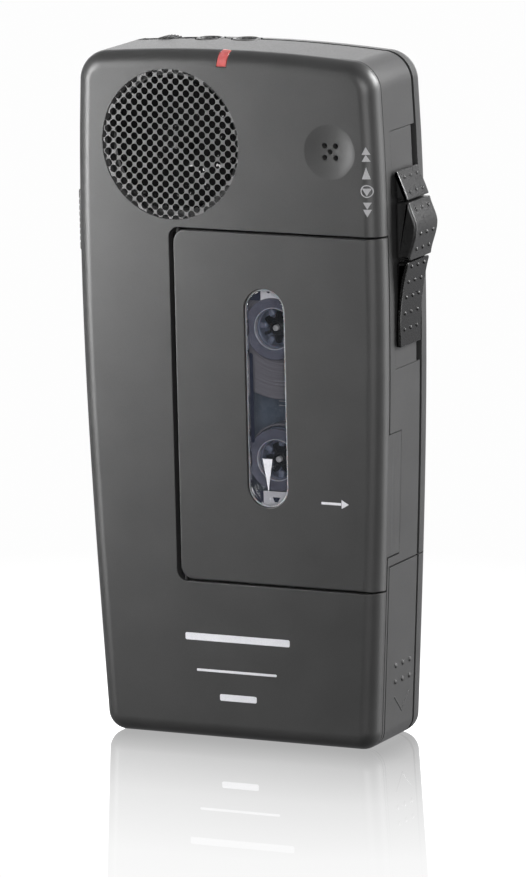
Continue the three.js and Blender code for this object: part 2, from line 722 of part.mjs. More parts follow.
// ---------------------------------------------------------------- circuit board
function circuitBoard() {
  const b = BOARD;
  const laminate = plate(roundedRect(b.left, b.right, b.bottom, b.top, 1), b.front, b.back, 2);
  const chips = [
    block([9, 17], [7.1, b.front + 0.2], [90, 102]),
    block([-16, -8], [7.1, b.front + 0.2], [76, 82]),
    block([-2, 4], [7.1, b.front + 0.2], [95, 99]),
  ];
  const cans = [[-14, 100], [-14, 92], [14, 66]].map(([x, z]) => rodY(2, 4.2, b.front + 0.2, x, z, 14));
  return join(laminate, ...chips, ...cans);
}

// ---------------------------------------------------------------- assembly
const machine = new THREE.Group();

function add(name, body, material) {
  const mesh = new THREE.Mesh(geometryOf(body), material);
  mesh.name = name;
  machine.add(mesh);
}

const polygon = (points) => new THREE.Shape(points.map(([x, z]) => new THREE.Vector2(x, z)));
const middleY = (CASSETTE.front + CASSETTE.back) / 2;

add('front_cover', frontCover(), casePlastic);
add('rear_cover', rearCover(), casePlastic);
add('switch_plate', skin.intersect(switchRegion(0, SWITCH.slotY)), casePlastic);
add('speaker_grille', speakerGrille(), grillePlastic);
add('speaker_frame', speakerFrame(), steel);
add('speaker_cone', speakerCone(), conePaper);
add('speaker_magnet', speakerMagnet(), deckMetal);
add('microphone_capsule', microphoneCapsule(), steel);
add('microphone_boot', microphoneBoot(), rubber);
add('lamp_light_pipe', lightPipe(), redClear);
add('record_led', recordLed(), redClear);
SCREWS.forEach((spot, i) => add(`case_screw_${i + 1}`, caseScrew(spot), steel));

add('cassette_door', cassetteDoor(), casePlastic);
add('door_window', doorWindow(), smokeClear);
add('door_hinge_pin_upper', hingePin(91, 93.85), steel);
add('door_hinge_pin_lower', hingePin(27.9, 31), steel);

add('cassette_shell_front', cassetteHalf(CASSETTE.front, middleY - 0.15, true), smokeClear);
add('cassette_shell_rear', cassetteHalf(middleY + 0.15, CASSETTE.back, false), smokeClear);
add('supply_hub', reelHub(SUPPLY_Z), whitePlastic);
add('takeup_hub', reelHub(TAKEUP_Z), whitePlastic);
add('supply_tape_pack', tapePack(SUPPLY_PACK, SUPPLY_Z), tapeBrown);
add('takeup_tape_pack', tapePack(TAKEUP_PACK, TAKEUP_Z), tapeBrown);
add('pressure_pad', pressurePad(), brass);

add('deck_plate', deckPlate(), deckMetal);
add('supply_spindle', reelSpindle(SUPPLY_Z), blackPlastic);
add('takeup_spindle', reelSpindle(TAKEUP_Z), blackPlastic);
add('supply_axle', reelAxle(SUPPLY_Z), steel);
add('takeup_axle', reelAxle(TAKEUP_Z), steel);
add('motor', motor(), steel);
add('motor_pulley', motorPulley(), brass);
add('flywheel', flywheel(), brass);
add('drive_belt', driveBelt(), rubber);
add('idler_arm', idlerArm(), steel);
add('idler_wheel', idlerWheel(), rubber);
add('head_carriage', headCarriage(), steel);
add('record_play_head', recordPlayHead(), steel);
add('erase_head', eraseHead(), blackPlastic);

add('slide_carrier', slideCarrier(), blackPlastic);
add('thumb_pad_top', thumbPad(polygon(padTop)), thumbPlastic);
add('thumb_pad_middle', thumbPad(padMiddle()), thumbPlastic);
add('thumb_pad_bottom', thumbPad(padBottom()), thumbPlastic);
add('selector_switch', selectorSwitch(), blackPlastic);
add('record_key', recordKey(), thumbPlastic);
add('index_button', indexButton(), thumbPlastic);
add('record_switch', recordSwitch(), blackPlastic);

add('volume_wheel', volumeWheel(), blackPlastic);
add('volume_pot', volumePot(), blackPlastic);
add('earphone_jack', jack(JACKS.earphone), blackPlastic);
add('microphone_jack', jack(JACKS.microphone), blackPlastic);
add('circuit_board', circuitBoard(), boardGreen);

add('battery_bulkhead', batteryBulkhead(), casePlastic);
add('battery_cell_upper', cell(CELL.upperZ, true), cellWrap);
add('battery_cell_lower', cell(CELL.lowerZ, false), cellWrap);
add('battery_contact_upper', leafContact(CELL.upperZ), steel);
add('battery_contact_lower', leafContact(CELL.lowerZ), steel);
add('battery_cover', batteryCover(), casePlastic);
add('battery_bridge_contact', bridgeContact(), steel);

export default machine;
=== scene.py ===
"""A pocket dictation machine standing on its lower end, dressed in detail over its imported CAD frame.

Shapes are built in millimetres in the frame's own axes (X right, Y back, Z up) and scaled to
metres when a piece is finished. Case outline values repeat the CAD's driving dimensions; the
places of smaller pieces are read from the frame.
"""
import math
from functools import partial

import bmesh
import bpy
from mathutils import Matrix, Vector


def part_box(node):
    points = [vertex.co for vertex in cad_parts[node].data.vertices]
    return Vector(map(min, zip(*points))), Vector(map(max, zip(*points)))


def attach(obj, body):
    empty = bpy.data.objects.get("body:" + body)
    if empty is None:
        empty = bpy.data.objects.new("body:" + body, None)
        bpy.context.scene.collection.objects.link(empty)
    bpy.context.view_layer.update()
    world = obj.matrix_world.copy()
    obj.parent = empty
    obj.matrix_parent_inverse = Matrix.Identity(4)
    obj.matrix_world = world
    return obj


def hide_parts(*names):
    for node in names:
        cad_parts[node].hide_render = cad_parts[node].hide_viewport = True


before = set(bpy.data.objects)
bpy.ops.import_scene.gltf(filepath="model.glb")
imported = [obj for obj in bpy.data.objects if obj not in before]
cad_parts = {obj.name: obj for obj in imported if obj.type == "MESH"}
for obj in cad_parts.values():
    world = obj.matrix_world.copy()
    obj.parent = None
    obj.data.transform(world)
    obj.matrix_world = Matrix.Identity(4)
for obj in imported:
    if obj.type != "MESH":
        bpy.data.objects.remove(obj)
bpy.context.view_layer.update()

MM = 0.001

# ---- driving dimensions, millimetres
HEIGHT = 125.0
FRONT = -11.0
BACK = 11.0
WALL = 1.6
CLEAR = 0.3
PARTING = 5.4
PARTING_GAP = 0.9

WIDEST_Z = 86.0
WIDEST_HALF = 30.15
FOOT_HALF = 26.85
SHOULDER_CURVE = 0.0007
CROWN_RADIUS = 278.0
TOP_CORNER = 5.5
FOOT_CORNER = 3.6
FRONT_FILLET = 3.2
BACK_FILLET = 4.0

DOOR_LEFT, DOOR_BOTTOM, DOOR_TOP = -10.6, 29.3, 92.75
DOOR_SEAM_Y = -7.85
DOOR_CORNER = 2.4
HINGE_GAP = 0.76
HINGE_AXIS = (-9.9, -10.05)
TAB_BOTTOM, TAB_TOP, TAB_END_Y = 35.2, 57.3, -2.7

WINDOW_X, WINDOW_BOTTOM, WINDOW_TOP, WINDOW_RADIUS = 7.1, 43.34, 82.82, 3.95
LAMP_LEFT, LAMP_RIGHT, LAMP_BOTTOM, LAMP_END_Y, LAMP_SLANT = -1.1, 0.7, 122.3, -7.7, 0.75
HATCH_LEFT, HATCH_FRONT, HATCH_TOP = 23.9, -6.6, 33.05
HATCH_BACK = 5.15
SWITCH_BOTTOM, SWITCH_TOP, SWITCH_FRONT, SWITCH_SLOT = 68.5, 111.5, -5.5, 3.5
DIMPLE_RADIUS, DIMPLE_DEPTH = 4.75, 0.44
GRILLE_PITCH = 2.055
GRILLE_HOLE = 0.675

# limits of cutting blocks, well outside the case
FAR = 45.0
BELOW, ABOVE = -5, HEIGHT + 5
INBOARD = 20

RIM_STEP = 0.03
EDGE = 0.35
PRINT = 0.02

# stage, metres
FOOT_REACH = (("X", 0.027), ("Y", 0.009))
MIRROR_FADE = 0.16
BACKDROP = 0.985


def span(node):
    """The low and high of a CAD node along X, Y and Z, in millimetres."""
    low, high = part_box(node)
    return [(a / MM, b / MM) for a, b in zip(low, high)]


def middle(pair):
    return (pair[0] + pair[1]) / 2


def centre_xz(node):
    x, _, z = span(node)
    return middle(x), middle(z)


GRILLE_AT = centre_xz("speaker_grille")
MIC_AT = centre_xz("microphone_capsule")
SUPPLY_AT = centre_xz("supply_axle")
TAKEUP_AT = centre_xz("takeup_axle")
WHEEL_AT = centre_xz("volume_wheel")
JACK_XS = [middle(span(name)[0]) for name in ("earphone_jack", "microphone_jack")]
SCREW_SPOTS = [centre_xz(f"case_screw_{i}") for i in range(1, 5)]


# ---- mesh helpers
def link(obj):
    bpy.context.scene.collection.objects.link(obj)
    return obj


def body_mesh(points, faces):
    mesh = bpy.data.meshes.new("body")
    mesh.from_pydata([tuple(p) for p in points], [], faces)
    shape = bmesh.new()
    shape.from_mesh(mesh)
    bmesh.ops.recalc_face_normals(shape, faces=shape.faces)
    shape.to_mesh(mesh)
    shape.free()
    return mesh


def walls(count, rows):
    """The faces between pairs of rings, each of count points."""
    faces = []
    for here, ahead in rows:
        for i in range(count):
            j = (i + 1) % count
            faces.append((here * count + i, here * count + j, ahead * count + j, ahead * count + i))
    return faces


def loft(rings):
    """A closed body through rings of equal length, with a flat cap on each end."""
    count = len(rings[0])
    last = len(rings) - 1
    faces = walls(count, [(r, r + 1) for r in range(last)])
    for end in (0, last * count):
        faces.append(tuple(range(end, end + count)))
    return body_mesh([p for ring in rings for p in ring], faces)


def hoop(rings):
    """A closed body through rings of equal length, the last joined to the first."""
    faces = walls(len(rings[0]), [(r, (r + 1) % len(rings)) for r in range(len(rings))])
    return body_mesh([p for ring in rings for p in ring], faces)


def ring_at(y, outline):
    """The outline's points in X and Z, placed at y."""
    return [(x, y, z) for x, z in outline]


def slab(outline, y0, y1):
    """An outline in X and Z, extruded along Y."""
    return loft([ring_at(y0, outline), ring_at(y1, outline)])


def slabs(outlines, y0, y1):
    """Several outlines, each extruded along Y, in one mesh."""
    return merge(*[slab(outline, y0, y1) for outline in outlines])


def plate(edges, radius, ys):
    """A slab between (left, right, bottom, top) edges, with rounded corners."""
    return slab(rounded_rect(*edges, radius), *ys)


def slab_x(outline, x0, x1):
    """An outline in Y and Z, extruded along X."""
    return loft([[(x, y, z) for y, z in outline] for x in (x0, x1)])


def block(xs, ys, zs):
    return slab([(xs[0], zs[0]), (xs[1], zs[0]), (xs[1], zs[1]), (xs[0], zs[1])], *ys)


def right_block(ys, zs, start=INBOARD):
    """A block from start out past the right side."""
    return block((start, FAR), ys, zs)


def layer(y0, y1):
    """Everything between two depths."""
    return block((-FAR, FAR), (y0, y1), (BELOW, ABOVE))


def raised(profile, start):
    """A profile of (radius, distance) points, moved along its axis by start."""
    return [(radius, start + along) for radius, along in profile]


def lathe(profile, at, axis="Y", segments=48):
    """A body turned about a line along axis; the profile lists (radius, distance along it)."""
    points = []
    rows = []
    for radius, along in profile:
        row = []
        for i in range(segments if radius > 1e-6 else 1):
            turn = 2 * math.pi * i / segments
            u, v = radius * math.cos(turn), radius * math.sin(turn)
            row.append(len(points))
            spot = [at[0] + u, at[1] + v]
            spot.insert("XYZ".index(axis), along)
            points.append(tuple(spot))
        rows.append(row)
    closed = profile[0][0] > 1e-6
    faces = []
    for one, two in zip(rows, rows[1:] + (rows[:1] if closed else [])):
        for i in range(segments):
            j = (i + 1) % segments
            corners = [one[i % len(one)], one[j % len(one)], two[j % len(two)], two[i % len(two)]]
            corners = list(dict.fromkeys(corners))
            if len(corners) > 2:
                faces.append(tuple(corners))
    return body_mesh(points, faces)


def rod(radius, low, high, at, axis="Y", segments=32):
    return lathe([(0, low), (radius, low), (radius, high), (0, high)], at, axis, segments)


def ring(inner, outer, low, high, at, axis="Y", segments=48):
    return lathe([(inner, low), (outer, low), (outer, high), (inner, high)], at, axis, segments)


def merge(*meshes):
    """Several closed bodies in one mesh, unchanged."""
    shape = bmesh.new()
    for mesh in meshes:
        shape.from_mesh(mesh)
    made = bpy.data.meshes.new("body")
    shape.to_mesh(made)
    shape.free()
    return made


def evaluated(mesh, kind, **settings):
    """The mesh after one modifier."""
    holder = link(bpy.data.objects.new("holder", mesh))
    modifier = holder.modifiers.new(kind.lower(), kind)
    for key, value in settings.items():
        setattr(modifier, key, value)
    shown = holder.evaluated_get(bpy.context.evaluated_depsgraph_get())
    made = bpy.data.meshes.new_from_object(shown)
    bpy.data.objects.remove(holder)
    return made


def boolean(operation, body, *tools):
    for tool in tools:
        cutter = link(bpy.data.objects.new("cutter", tool))
        body = evaluated(body, "BOOLEAN", operation=operation, object=cutter, solver="MANIFOLD")
        bpy.data.objects.remove(cutter)
    return body


cut = partial(boolean, "DIFFERENCE")
common = partial(boolean, "INTERSECT")
join = partial(boolean, "UNION")


def softened(mesh, width, segments=3, angle=35):
    """The mesh with its edges rounded."""
    return evaluated(mesh, "BEVEL", width=width, segments=segments, limit_method="ANGLE",
                     angle_limit=math.radians(angle), use_clamp_overlap=True)


def moved(mesh, matrix):
    made = mesh.copy()
    made.transform(matrix)
    return made


def turned_about_y(mesh, degrees, at):
    """The mesh, made around the Y axis, turned and then moved to at."""
    turn = Matrix.Rotation(math.radians(degrees), 4, "Y")
    return moved(mesh, Matrix.Translation((at[0], 0, at[1])) @ turn)


def arc(cx, cz, radius, start, end, steps):
    """Points on an arc, from start to end degrees."""
    points = []
    for i in range(steps + 1):
        turn = math.radians(start + (end - start) * i / steps)
        points.append((cx + radius * math.cos(turn), cz + radius * math.sin(turn)))
    return points


def rounded_rect(left, right, bottom, top, radius, steps=8):
    x0, x1, z0, z1 = left + radius, right - radius, bottom + radius, top - radius
    corners = ((x1, z0, -90), (x1, z1, 0), (x0, z1, 90), (x0, z0, 180))
    return [spot for x, z, start in corners for spot in arc(x, z, radius, start, start + 90, steps)]


def filleted(outline, radius, steps=5, least=20):
    """The outline with every corner sharper than least degrees rounded."""
    made = []
    for i, spot in enumerate(outline):
        here = Vector(spot)
        back = Vector(outline[i - 1]) - here
        ahead = Vector(outline[(i + 1) % len(outline)]) - here
        opening = back.angle(ahead)
        if 180 - math.degrees(opening) < least:
            made.append(tuple(here))
            continue
        reach = min(radius / math.tan(opening / 2), 0.45 * back.length, 0.45 * ahead.length)
        start = here + back.normalized() * reach
        end = here + ahead.normalized() * reach
        for step in range(steps + 1):
            t = step / steps
            made.append(tuple((1 - t) ** 2 * start + 2 * t * (1 - t) * here + t * t * end))
    return made


def shrunk(outline, inset):
    """The outline with its edge moved inwards."""
    count = len(outline)
    pairs = [(outline[i - 1], outline[i]) for i in range(count)]
    side = 1 if sum(a[0] * b[1] - b[0] * a[1] for a, b in pairs) > 0 else -1
    made = []
    for i, (x, z) in enumerate(outline):
        before = (Vector((x, z)) - Vector(outline[i - 1])).normalized()
        after = (Vector(outline[(i + 1) % count]) - Vector((x, z))).normalized()
        along = (before + after).normalized()
        reach = inset / max(0.4, along.dot(before))
        made.append((x - side * along.y * reach, z + side * along.x * reach))
    return made


def rounded_slab(outline, y0, y1, front_radius, back_radius, steps=4):
    """An outline extruded along Y, with both of its rims rounded."""
    rings = []
    for end, way, radius in ((y0, 1, front_radius), (y1, -1, back_radius)):
        turns = quarter(steps) if way > 0 else reversed(quarter(steps))
        for a in turns:
            y = end + way * radius * (1 - math.cos(a))
            rings.append(ring_at(y, shrunk(outline, radius * (1 - math.sin(a)))))
    flat_front = ring_at(y0, shrunk(outline, front_radius + RIM_STEP))
    flat_back = ring_at(y1, shrunk(outline, back_radius + RIM_STEP))
    return loft([flat_front, *rings, flat_back])


def stadium(grow=0.0, steps=24):
    radius = WINDOW_RADIUS + grow
    high = WINDOW_TOP - WINDOW_RADIUS
    low = WINDOW_BOTTOM + WINDOW_RADIUS
    return arc(WINDOW_X, high, radius, 0, 180, steps) + arc(WINDOW_X, low, radius, 180, 360, steps)


def on_curve(corners, t):
    """The point at t on the cubic curve with these four corners."""
    weights = ((1 - t) ** 3, 3 * t * (1 - t) ** 2, 3 * t * t * (1 - t), t**3)
    return tuple(sum(w * c[k] for w, c in zip(weights, corners)) for k in (0, 1))


def bezier(*corners, steps):
    """Points on a cubic curve in the plane, both ends included."""
    return [on_curve(corners, i / steps) for i in range(steps + 1)]


def quarter(steps):
    """Angles over a quarter turn, in radians."""
    return [math.pi / 2 * i / steps for i in range(steps + 1)]


def finish(mesh, material, crease):
    """Gives the mesh its material, smooth except at edges sharper than crease degrees."""
    mesh.materials.clear()
    mesh.materials.append(material)
    mesh.shade_smooth()
    mesh.set_sharp_from_angle(angle=math.radians(crease))


def piece(name, mesh, material, body, slot, replaces=(), crease=30, weighted=True):
    """Finishes a mesh made in millimetres as a shown piece of the object."""
    mesh.transform(Matrix.Scale(MM, 4))
    mesh.name = name
    obj = link(bpy.data.objects.new(name, mesh))
    finish(mesh, material, crease)
    if weighted:
        even = obj.modifiers.new("even_normals", "WEIGHTED_NORMAL")
        even.keep_sharp = True
        even.weight = 80
    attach(obj, body)
    if replaces:
        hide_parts(*replaces)


print_on = partial(piece, weighted=False)


# ---- case outline
FLANK = ((FOOT_HALF, 0), (FOOT_HALF + 1.6, 30), (WIDEST_HALF, 57), (WIDEST_HALF, WIDEST_Z))


def crown_z(x):
    return HEIGHT - x * x / (2 * CROWN_RADIUS)


def half_width(z):
    if z >= WIDEST_Z:
        return WIDEST_HALF - SHOULDER_CURVE * (z - WIDEST_Z) ** 2
    low, high = 0.0, 1.0
    for _ in range(24):
        t = (low + high) / 2
        x, reached = on_curve(FLANK, t)
        if reached < z:
            low = t
        else:
            high = t
    return x


def case_outline(inset):
    """The outline of the case seen from the front, moved inwards by inset."""
    foot_r = max(FOOT_CORNER - inset, 0.4)
    top_r = max(TOP_CORNER - inset, 0.4)
    foot_x = half_width(FOOT_CORNER) - inset - foot_r
    top_x = half_width(HEIGHT - TOP_CORNER) - inset - top_r
    top_z = crown_z(top_x) - inset - top_r
    points = arc(foot_x, inset + foot_r, foot_r, -90, 0, 12)
    points += [(half_width(z) - inset, z) for z in range(8, 116, 6)]
    points += arc(top_x, top_z, top_r, 0, 90, 18)
    points += [(x, crown_z(x) - inset) for x in (20, 16, 12, 8, 4)]
    return points + [(-x, z) for x, z in reversed(points)]


def case_body(inset, steps=12):
    """The whole case as one body, with its front and back edges rounded."""
    rings = []
    angles = quarter(steps)
    ends = ((FRONT, -1, FRONT_FILLET, angles), (BACK, 1, BACK_FILLET, angles[::-1]))
    for face, way, fillet, turns in ends:
        radius = fillet - inset
        for angle in turns:
            y = face - way * fillet + way * radius * math.cos(angle)
            rings.append(ring_at(y, case_outline(inset + radius * (1 - math.sin(angle)))))
    return loft(rings)


OUTSIDE = case_body(0)
SKIN = cut(OUTSIDE, case_body(WALL, 6))
LIP = cut(case_body(1.2, 4), case_body(WALL - 0.02, 4))


# ---- cutting regions
def panel_region(grow, left_grow, edge):
    """The door panel's space, grown by a gap. edge rounds its rim where it meets the face."""
    steps = [(FRONT - 5, edge)]
    steps += [(FRONT + abs(edge) * (1 - math.cos(a)), edge * (1 - math.sin(a))) for a in quarter(4)]
    steps.append((DOOR_SEAM_Y + grow, 0.0))
    corner = DOOR_CORNER - 1.25 * grow
    return loft([
        ring_at(y, rounded_rect(DOOR_LEFT - left_grow - extra, FAR, DOOR_BOTTOM - grow - extra,
                                DOOR_TOP + grow + extra, corner + extra))
        for y, extra in steps
    ])


def tab_region(back_gap, low_gap, high_gap):
    return right_block((DOOR_SEAM_Y - 1, TAB_END_Y + back_gap),
                       (TAB_BOTTOM - low_gap, TAB_TOP + high_gap), DOOR_LEFT + 30)


def hatch_region(grow):
    return right_block((HATCH_FRONT - grow, HATCH_BACK + grow), (BELOW, HATCH_TOP + grow),
                       HATCH_LEFT - grow)


def switch_region(front_gap, end_gap, back):
    return right_block((SWITCH_FRONT + CLEAR - front_gap, back),
                       (SWITCH_BOTTOM + CLEAR - end_gap, SWITCH_TOP - CLEAR + end_gap))


def lamp_region(grow):
    """The light pipe's space; its upper end is cut on a slant."""
    left, right = LAMP_LEFT - grow, LAMP_RIGHT + grow
    end = LAMP_END_Y + grow
    plan = [(left, FRONT - 5), (right, FRONT - 5), (right, end - LAMP_SLANT), (left, end)]
    return loft([[(x, y, z) for x, y in plan] for z in (LAMP_BOTTOM - grow, ABOVE)])


def wheel_slot():
    y = span("volume_wheel")[1]
    x = WHEEL_AT[0]
    return block((x - 5.6, x + 5.6), (y[0] - CLEAR, y[1] + CLEAR), (WHEEL_AT[1], ABOVE))


def jack_holes():
    return merge(*[rod(2.9, 121.5, ABOVE, (x, PARTING), "Z") for x in JACK_XS])


def pivot_holes():
    spans = ((27.6, DOOR_BOTTOM + 2), (DOOR_TOP - 2, 94))
    return merge(*[rod(0.72, low, high, HINGE_AXIS, "Z", 20) for low, high in spans])


# ---- material helpers
class Nodes:
    """A short way to write a node tree, for a material or for the world."""

    def __init__(self, name, world=None):
        self.owner = world or bpy.data.materials.new(name)
        self.owner.use_nodes = True
        self.tree = self.owner.node_tree
        self.tree.nodes.clear()
        self.out = self.add("ShaderNodeOutputWorld" if world else "ShaderNodeOutputMaterial")
        self.place = self.add("ShaderNodeTexCoord").outputs["Generated" if world else "Object"]

    def add(self, kind, **inputs):
        node = self.tree.nodes.new(kind)
        self.feed(node, **inputs)
        return node

    def put(self, value, socket):
        """Links value to the socket, or stores it there."""
        if isinstance(value, bpy.types.NodeSocket):
            self.tree.links.new(value, socket)
        else:
            socket.default_value = value

    def feed(self, node, **inputs):
        for key, value in inputs.items():
            self.put(value, node.inputs[key.replace("_", " ")])

    def noise(self, size, detail=3.0, roughness=0.55):
        """Noise whose features are about size millimetres across."""
        node = self.add("ShaderNodeTexNoise", Vector=self.place, Scale=1 / (size * MM),
                        Detail=detail, Roughness=roughness)
        return node.outputs["Fac"]

    def ramp(self, value, *stops):
        """A colour ramp through (position, colour) stops."""
        node = self.add("ShaderNodeValToRGB", Fac=value)
        elements = node.color_ramp.elements
        while len(elements) < len(stops):
            elements.new(0.5)
        for element, (position, colour) in zip(elements, stops):
            element.position = position
            element.color = (*colour, 1) if len(colour) == 3 else colour
        return node.outputs["Color"]

    def range(self, value, low, high, from_low=0.0, from_high=1.0):
        node = self.add("ShaderNodeMapRange", Value=value)
        for key, number in (("From Min", from_low), ("From Max", from_high),
                            ("To Min", low), ("To Max", high)):
            node.inputs[key].default_value = number
        return node.outputs["Result"]

    def maths(self, operation, a, b=0.0):
        node = self.add("ShaderNodeMath")
        node.operation = operation
        for socket, value in zip(node.inputs, (a, b)):
            self.put(value, socket)
        return node.outputs[0]

    def length(self, a, b):
        """The length of the vector (a, b)."""
        squares = self.maths("ADD", self.maths("MULTIPLY", a, a), self.maths("MULTIPLY", b, b))
        return self.maths("SQRT", squares)

    def axes(self):
        """The object's own coordinates, one by one."""
        return self.add("ShaderNodeSeparateXYZ", Vector=self.place).outputs

    def mix(self, share, one, two):
        """Two shaders mixed; share is how much of the second shows."""
        node = self.add("ShaderNodeMixShader", Fac=share)
        self.tree.links.new(one.outputs[0], node.inputs[1])
        self.tree.links.new(two.outputs[0], node.inputs[2])
        return node

    def bump(self, height, depth, strength=1.0, normal=None):
        """A bump whose full height is depth millimetres."""
        node = self.add("ShaderNodeBump", Height=height, Distance=depth * MM, Strength=strength)
        if normal is not None:
            self.feed(node, Normal=normal)
        return node.outputs["Normal"]

    def soft_edges(self, radius):
        """A normal that rounds edges by radius millimetres."""
        node = self.add("ShaderNodeBevel", Radius=radius * MM)
        node.samples = 4
        return node.outputs["Normal"]

    def finish(self, shader):
        """The material or world, with this shader as its surface."""
        self.tree.links.new(shader.outputs[0], self.out.inputs["Surface"])
        return self.owner

    def surface(self, **inputs):
        """The material, with a Principled surface."""
        return self.finish(self.add("ShaderNodeBsdfPrincipled", **inputs))


def grey(value, warmth=0.0):
    """A near-grey linear colour; warmth moves it from blue to red."""
    return (value * (1 + warmth), value, value * (1 - warmth))


def shade(colour, factor):
    """The colour made darker or lighter."""
    return tuple(min(1.0, c * factor) for c in colour)


# ---- materials
def moulded_plastic(name, tone, gloss, grain=0.16, depth=0.012, warmth=0.0, round_edges=0.12):
    """Textured moulded plastic: fine spark grain, soft mottling and slightly polished edges."""
    n = Nodes(name)
    fine = n.noise(grain, 4.0, 0.7)
    broad = n.noise(9.0, 2.0)
    mottle = n.maths("ADD", n.maths("MULTIPLY", fine, 0.55), n.maths("MULTIPLY", broad, 0.45))
    colour = n.ramp(mottle, (0.3, grey(tone * 0.82, warmth)), (0.7, grey(tone * 1.2, warmth)))
    rough = n.range(fine, gloss - 0.07, gloss + 0.09, 0.3, 0.7)
    edges = n.soft_edges(round_edges)
    return n.surface(Base_Color=colour, Roughness=rough, Normal=n.bump(fine, depth, 0.9, edges),
                     Specular_IOR_Level=0.5)


def satin_plastic(name, tone, gloss, warmth=0.0, round_edges=0.08):
    """Smooth satin plastic with faint flow marks and handling smears."""
    n = Nodes(name)
    flow = n.noise(3.5, 3.0)
    fine = n.noise(0.35, 2.0)
    colour = n.ramp(flow, (0.3, grey(tone * 0.85, warmth)), (0.75, grey(tone * 1.2, warmth)))
    rough = n.range(flow, gloss - 0.06, gloss + 0.1, 0.3, 0.7)
    return n.surface(Base_Color=colour, Roughness=rough,
                     Normal=n.bump(fine, 0.006, 0.6, n.soft_edges(round_edges)))


def metal(name, colour, gloss, grain_size=0.2, stretch=(1, 1, 1), depth=0.004):
    """Metal with a drawn or turned grain along one direction."""
    n = Nodes(name)
    mapping = n.add("ShaderNodeMapping", Vector=n.place)
    mapping.inputs["Scale"].default_value = stretch
    grain = n.add("ShaderNodeTexNoise", Vector=mapping.outputs["Vector"],
                  Scale=1 / (grain_size * MM), Detail=4.0).outputs["Fac"]
    tint = n.ramp(grain, (0.25, shade(colour, 0.72)), (0.75, colour))
    return n.surface(Base_Color=tint, Metallic=1.0, Roughness=n.range(grain, gloss - 0.08, gloss + 0.14),
                     Normal=n.bump(grain, depth, 0.7, n.soft_edges(0.05)))


def clear_plastic(name, tint, haze, gloss, haze_colour):
    """Thin clear plastic: mostly see-through, with a glossy face and a little milky haze."""
    n = Nodes(name)
    smear = n.noise(4.0, 3.0)
    through = n.add("ShaderNodeBsdfTransparent", Color=(*tint, 1))
    milky = n.add("ShaderNodeBsdfDiffuse", Color=(*haze_colour, 1))
    body = n.mix(n.range(smear, haze * 0.6, haze * 1.4, 0.3, 0.7), through, milky)
    shine = n.add("ShaderNodeBsdfGlossy", Roughness=n.range(smear, gloss, gloss + 0.06, 0.3, 0.7),
                  Normal=n.soft_edges(0.08))
    mirror = n.add("ShaderNodeFresnel", IOR=1.49).outputs["Fac"]
    return n.finish(n.mix(mirror, body, shine))


def milky_plastic(name, colour, gloss, inside):
    """Translucent nylon: soft light inside, satin outside."""
    n = Nodes(name)
    cloud = n.noise(1.6, 3.0)
    pale, deep = shade(colour, 1.15), shade(colour, 0.8)
    return n.surface(Base_Color=n.ramp(cloud, (0.3, deep), (0.7, pale)), Roughness=gloss,
                     Subsurface_Weight=inside, Subsurface_Scale=0.0012,
                     Normal=n.bump(n.noise(0.3), 0.004, 0.5, n.soft_edges(0.1)))


def red_lens():
    """Translucent red plastic, unevenly deep, with a faint glow."""
    n = Nodes("red_lens")
    cloud = n.noise(1.2, 2.0)
    colour = n.ramp(cloud, (0.3, (0.4, 0.085, 0.085)), (0.7, (0.54, 0.14, 0.135)))
    return n.surface(Base_Color=colour, Roughness=0.16, Subsurface_Weight=0.5, Subsurface_Scale=0.002,
                     Coat_Weight=0.6, Coat_Roughness=0.08, Normal=n.soft_edges(0.25),
                     Emission_Color=(0.9, 0.25, 0.25, 1), Emission_Strength=0.05)


def wound_tape():
    """The flat side of a wound tape: fine rings of slightly uneven winding."""
    n = Nodes("wound_tape")
    parts = n.axes()
    supply = ring_distance(n, parts, SUPPLY_AT)
    takeup = ring_distance(n, parts, TAKEUP_AT)
    radius = n.maths("MINIMUM", supply, takeup)
    lines = n.add("ShaderNodeTexNoise", Scale=5200.0, Detail=3.0)
    lines.noise_dimensions = "1D"
    n.feed(lines, W=radius)
    colour = n.ramp(lines.outputs["Fac"], (0.35, (0.24, 0.215, 0.21)), (0.7, (0.4, 0.365, 0.36)))
    return n.surface(Base_Color=colour, Roughness=0.34, Normal=n.bump(lines.outputs["Fac"], 0.01, 0.7),
                     Specular_IOR_Level=0.6)


def ring_distance(n, parts, at):
    """Distance in metres from a reel's axis."""
    dx = n.maths("SUBTRACT", parts["X"], at[0] * MM)
    dz = n.maths("SUBTRACT", parts["Z"], at[1] * MM)
    return n.length(dx, dz)


def printed_ink(name, colour, gloss=0.5):
    """Pad-printed ink: slightly thin and broken over the grain below it."""
    n = Nodes(name)
    grain = n.noise(0.12, 3.0)
    thin = shade(colour, 0.82)
    return n.surface(Base_Color=n.ramp(grain, (0.35, thin), (0.6, colour)), Roughness=gloss,
                     Normal=n.bump(grain, 0.006, 0.5))


def paper(name, colour):
    n = Nodes(name)
    fibre = n.noise(0.25, 5.0, 0.7)
    dark = shade(colour, 0.86)
    return n.surface(Base_Color=n.ramp(fibre, (0.3, dark), (0.65, colour)), Roughness=0.62,
                     Normal=n.bump(fibre, 0.01, 0.6))


def pressed_cone():
    """Black pressed paper with a few glossy fibres; its black is pushed to near none as painted shade
    deep behind the grille holes.
    """
    n = Nodes("pressed_cone")
    fibre = n.noise(0.3, 5.0, 0.75)
    fleck = n.ramp(n.noise(0.8, 1.0), (0.69, (0, 0, 0)), (0.72, (1, 1, 1)))
    # near-black: the paper's own black darkened further as painted shade behind the grille
    colour = n.ramp(fibre, (0.3, (0.001, 0.001, 0.001)), (0.8, (0.004, 0.004, 0.004)))
    return n.surface(Base_Color=colour, Roughness=n.range(fleck, 0.8, 0.1),
                     Specular_IOR_Level=n.range(fleck, 0.05, 1.0), Normal=n.bump(fibre, 0.03, 1.0))


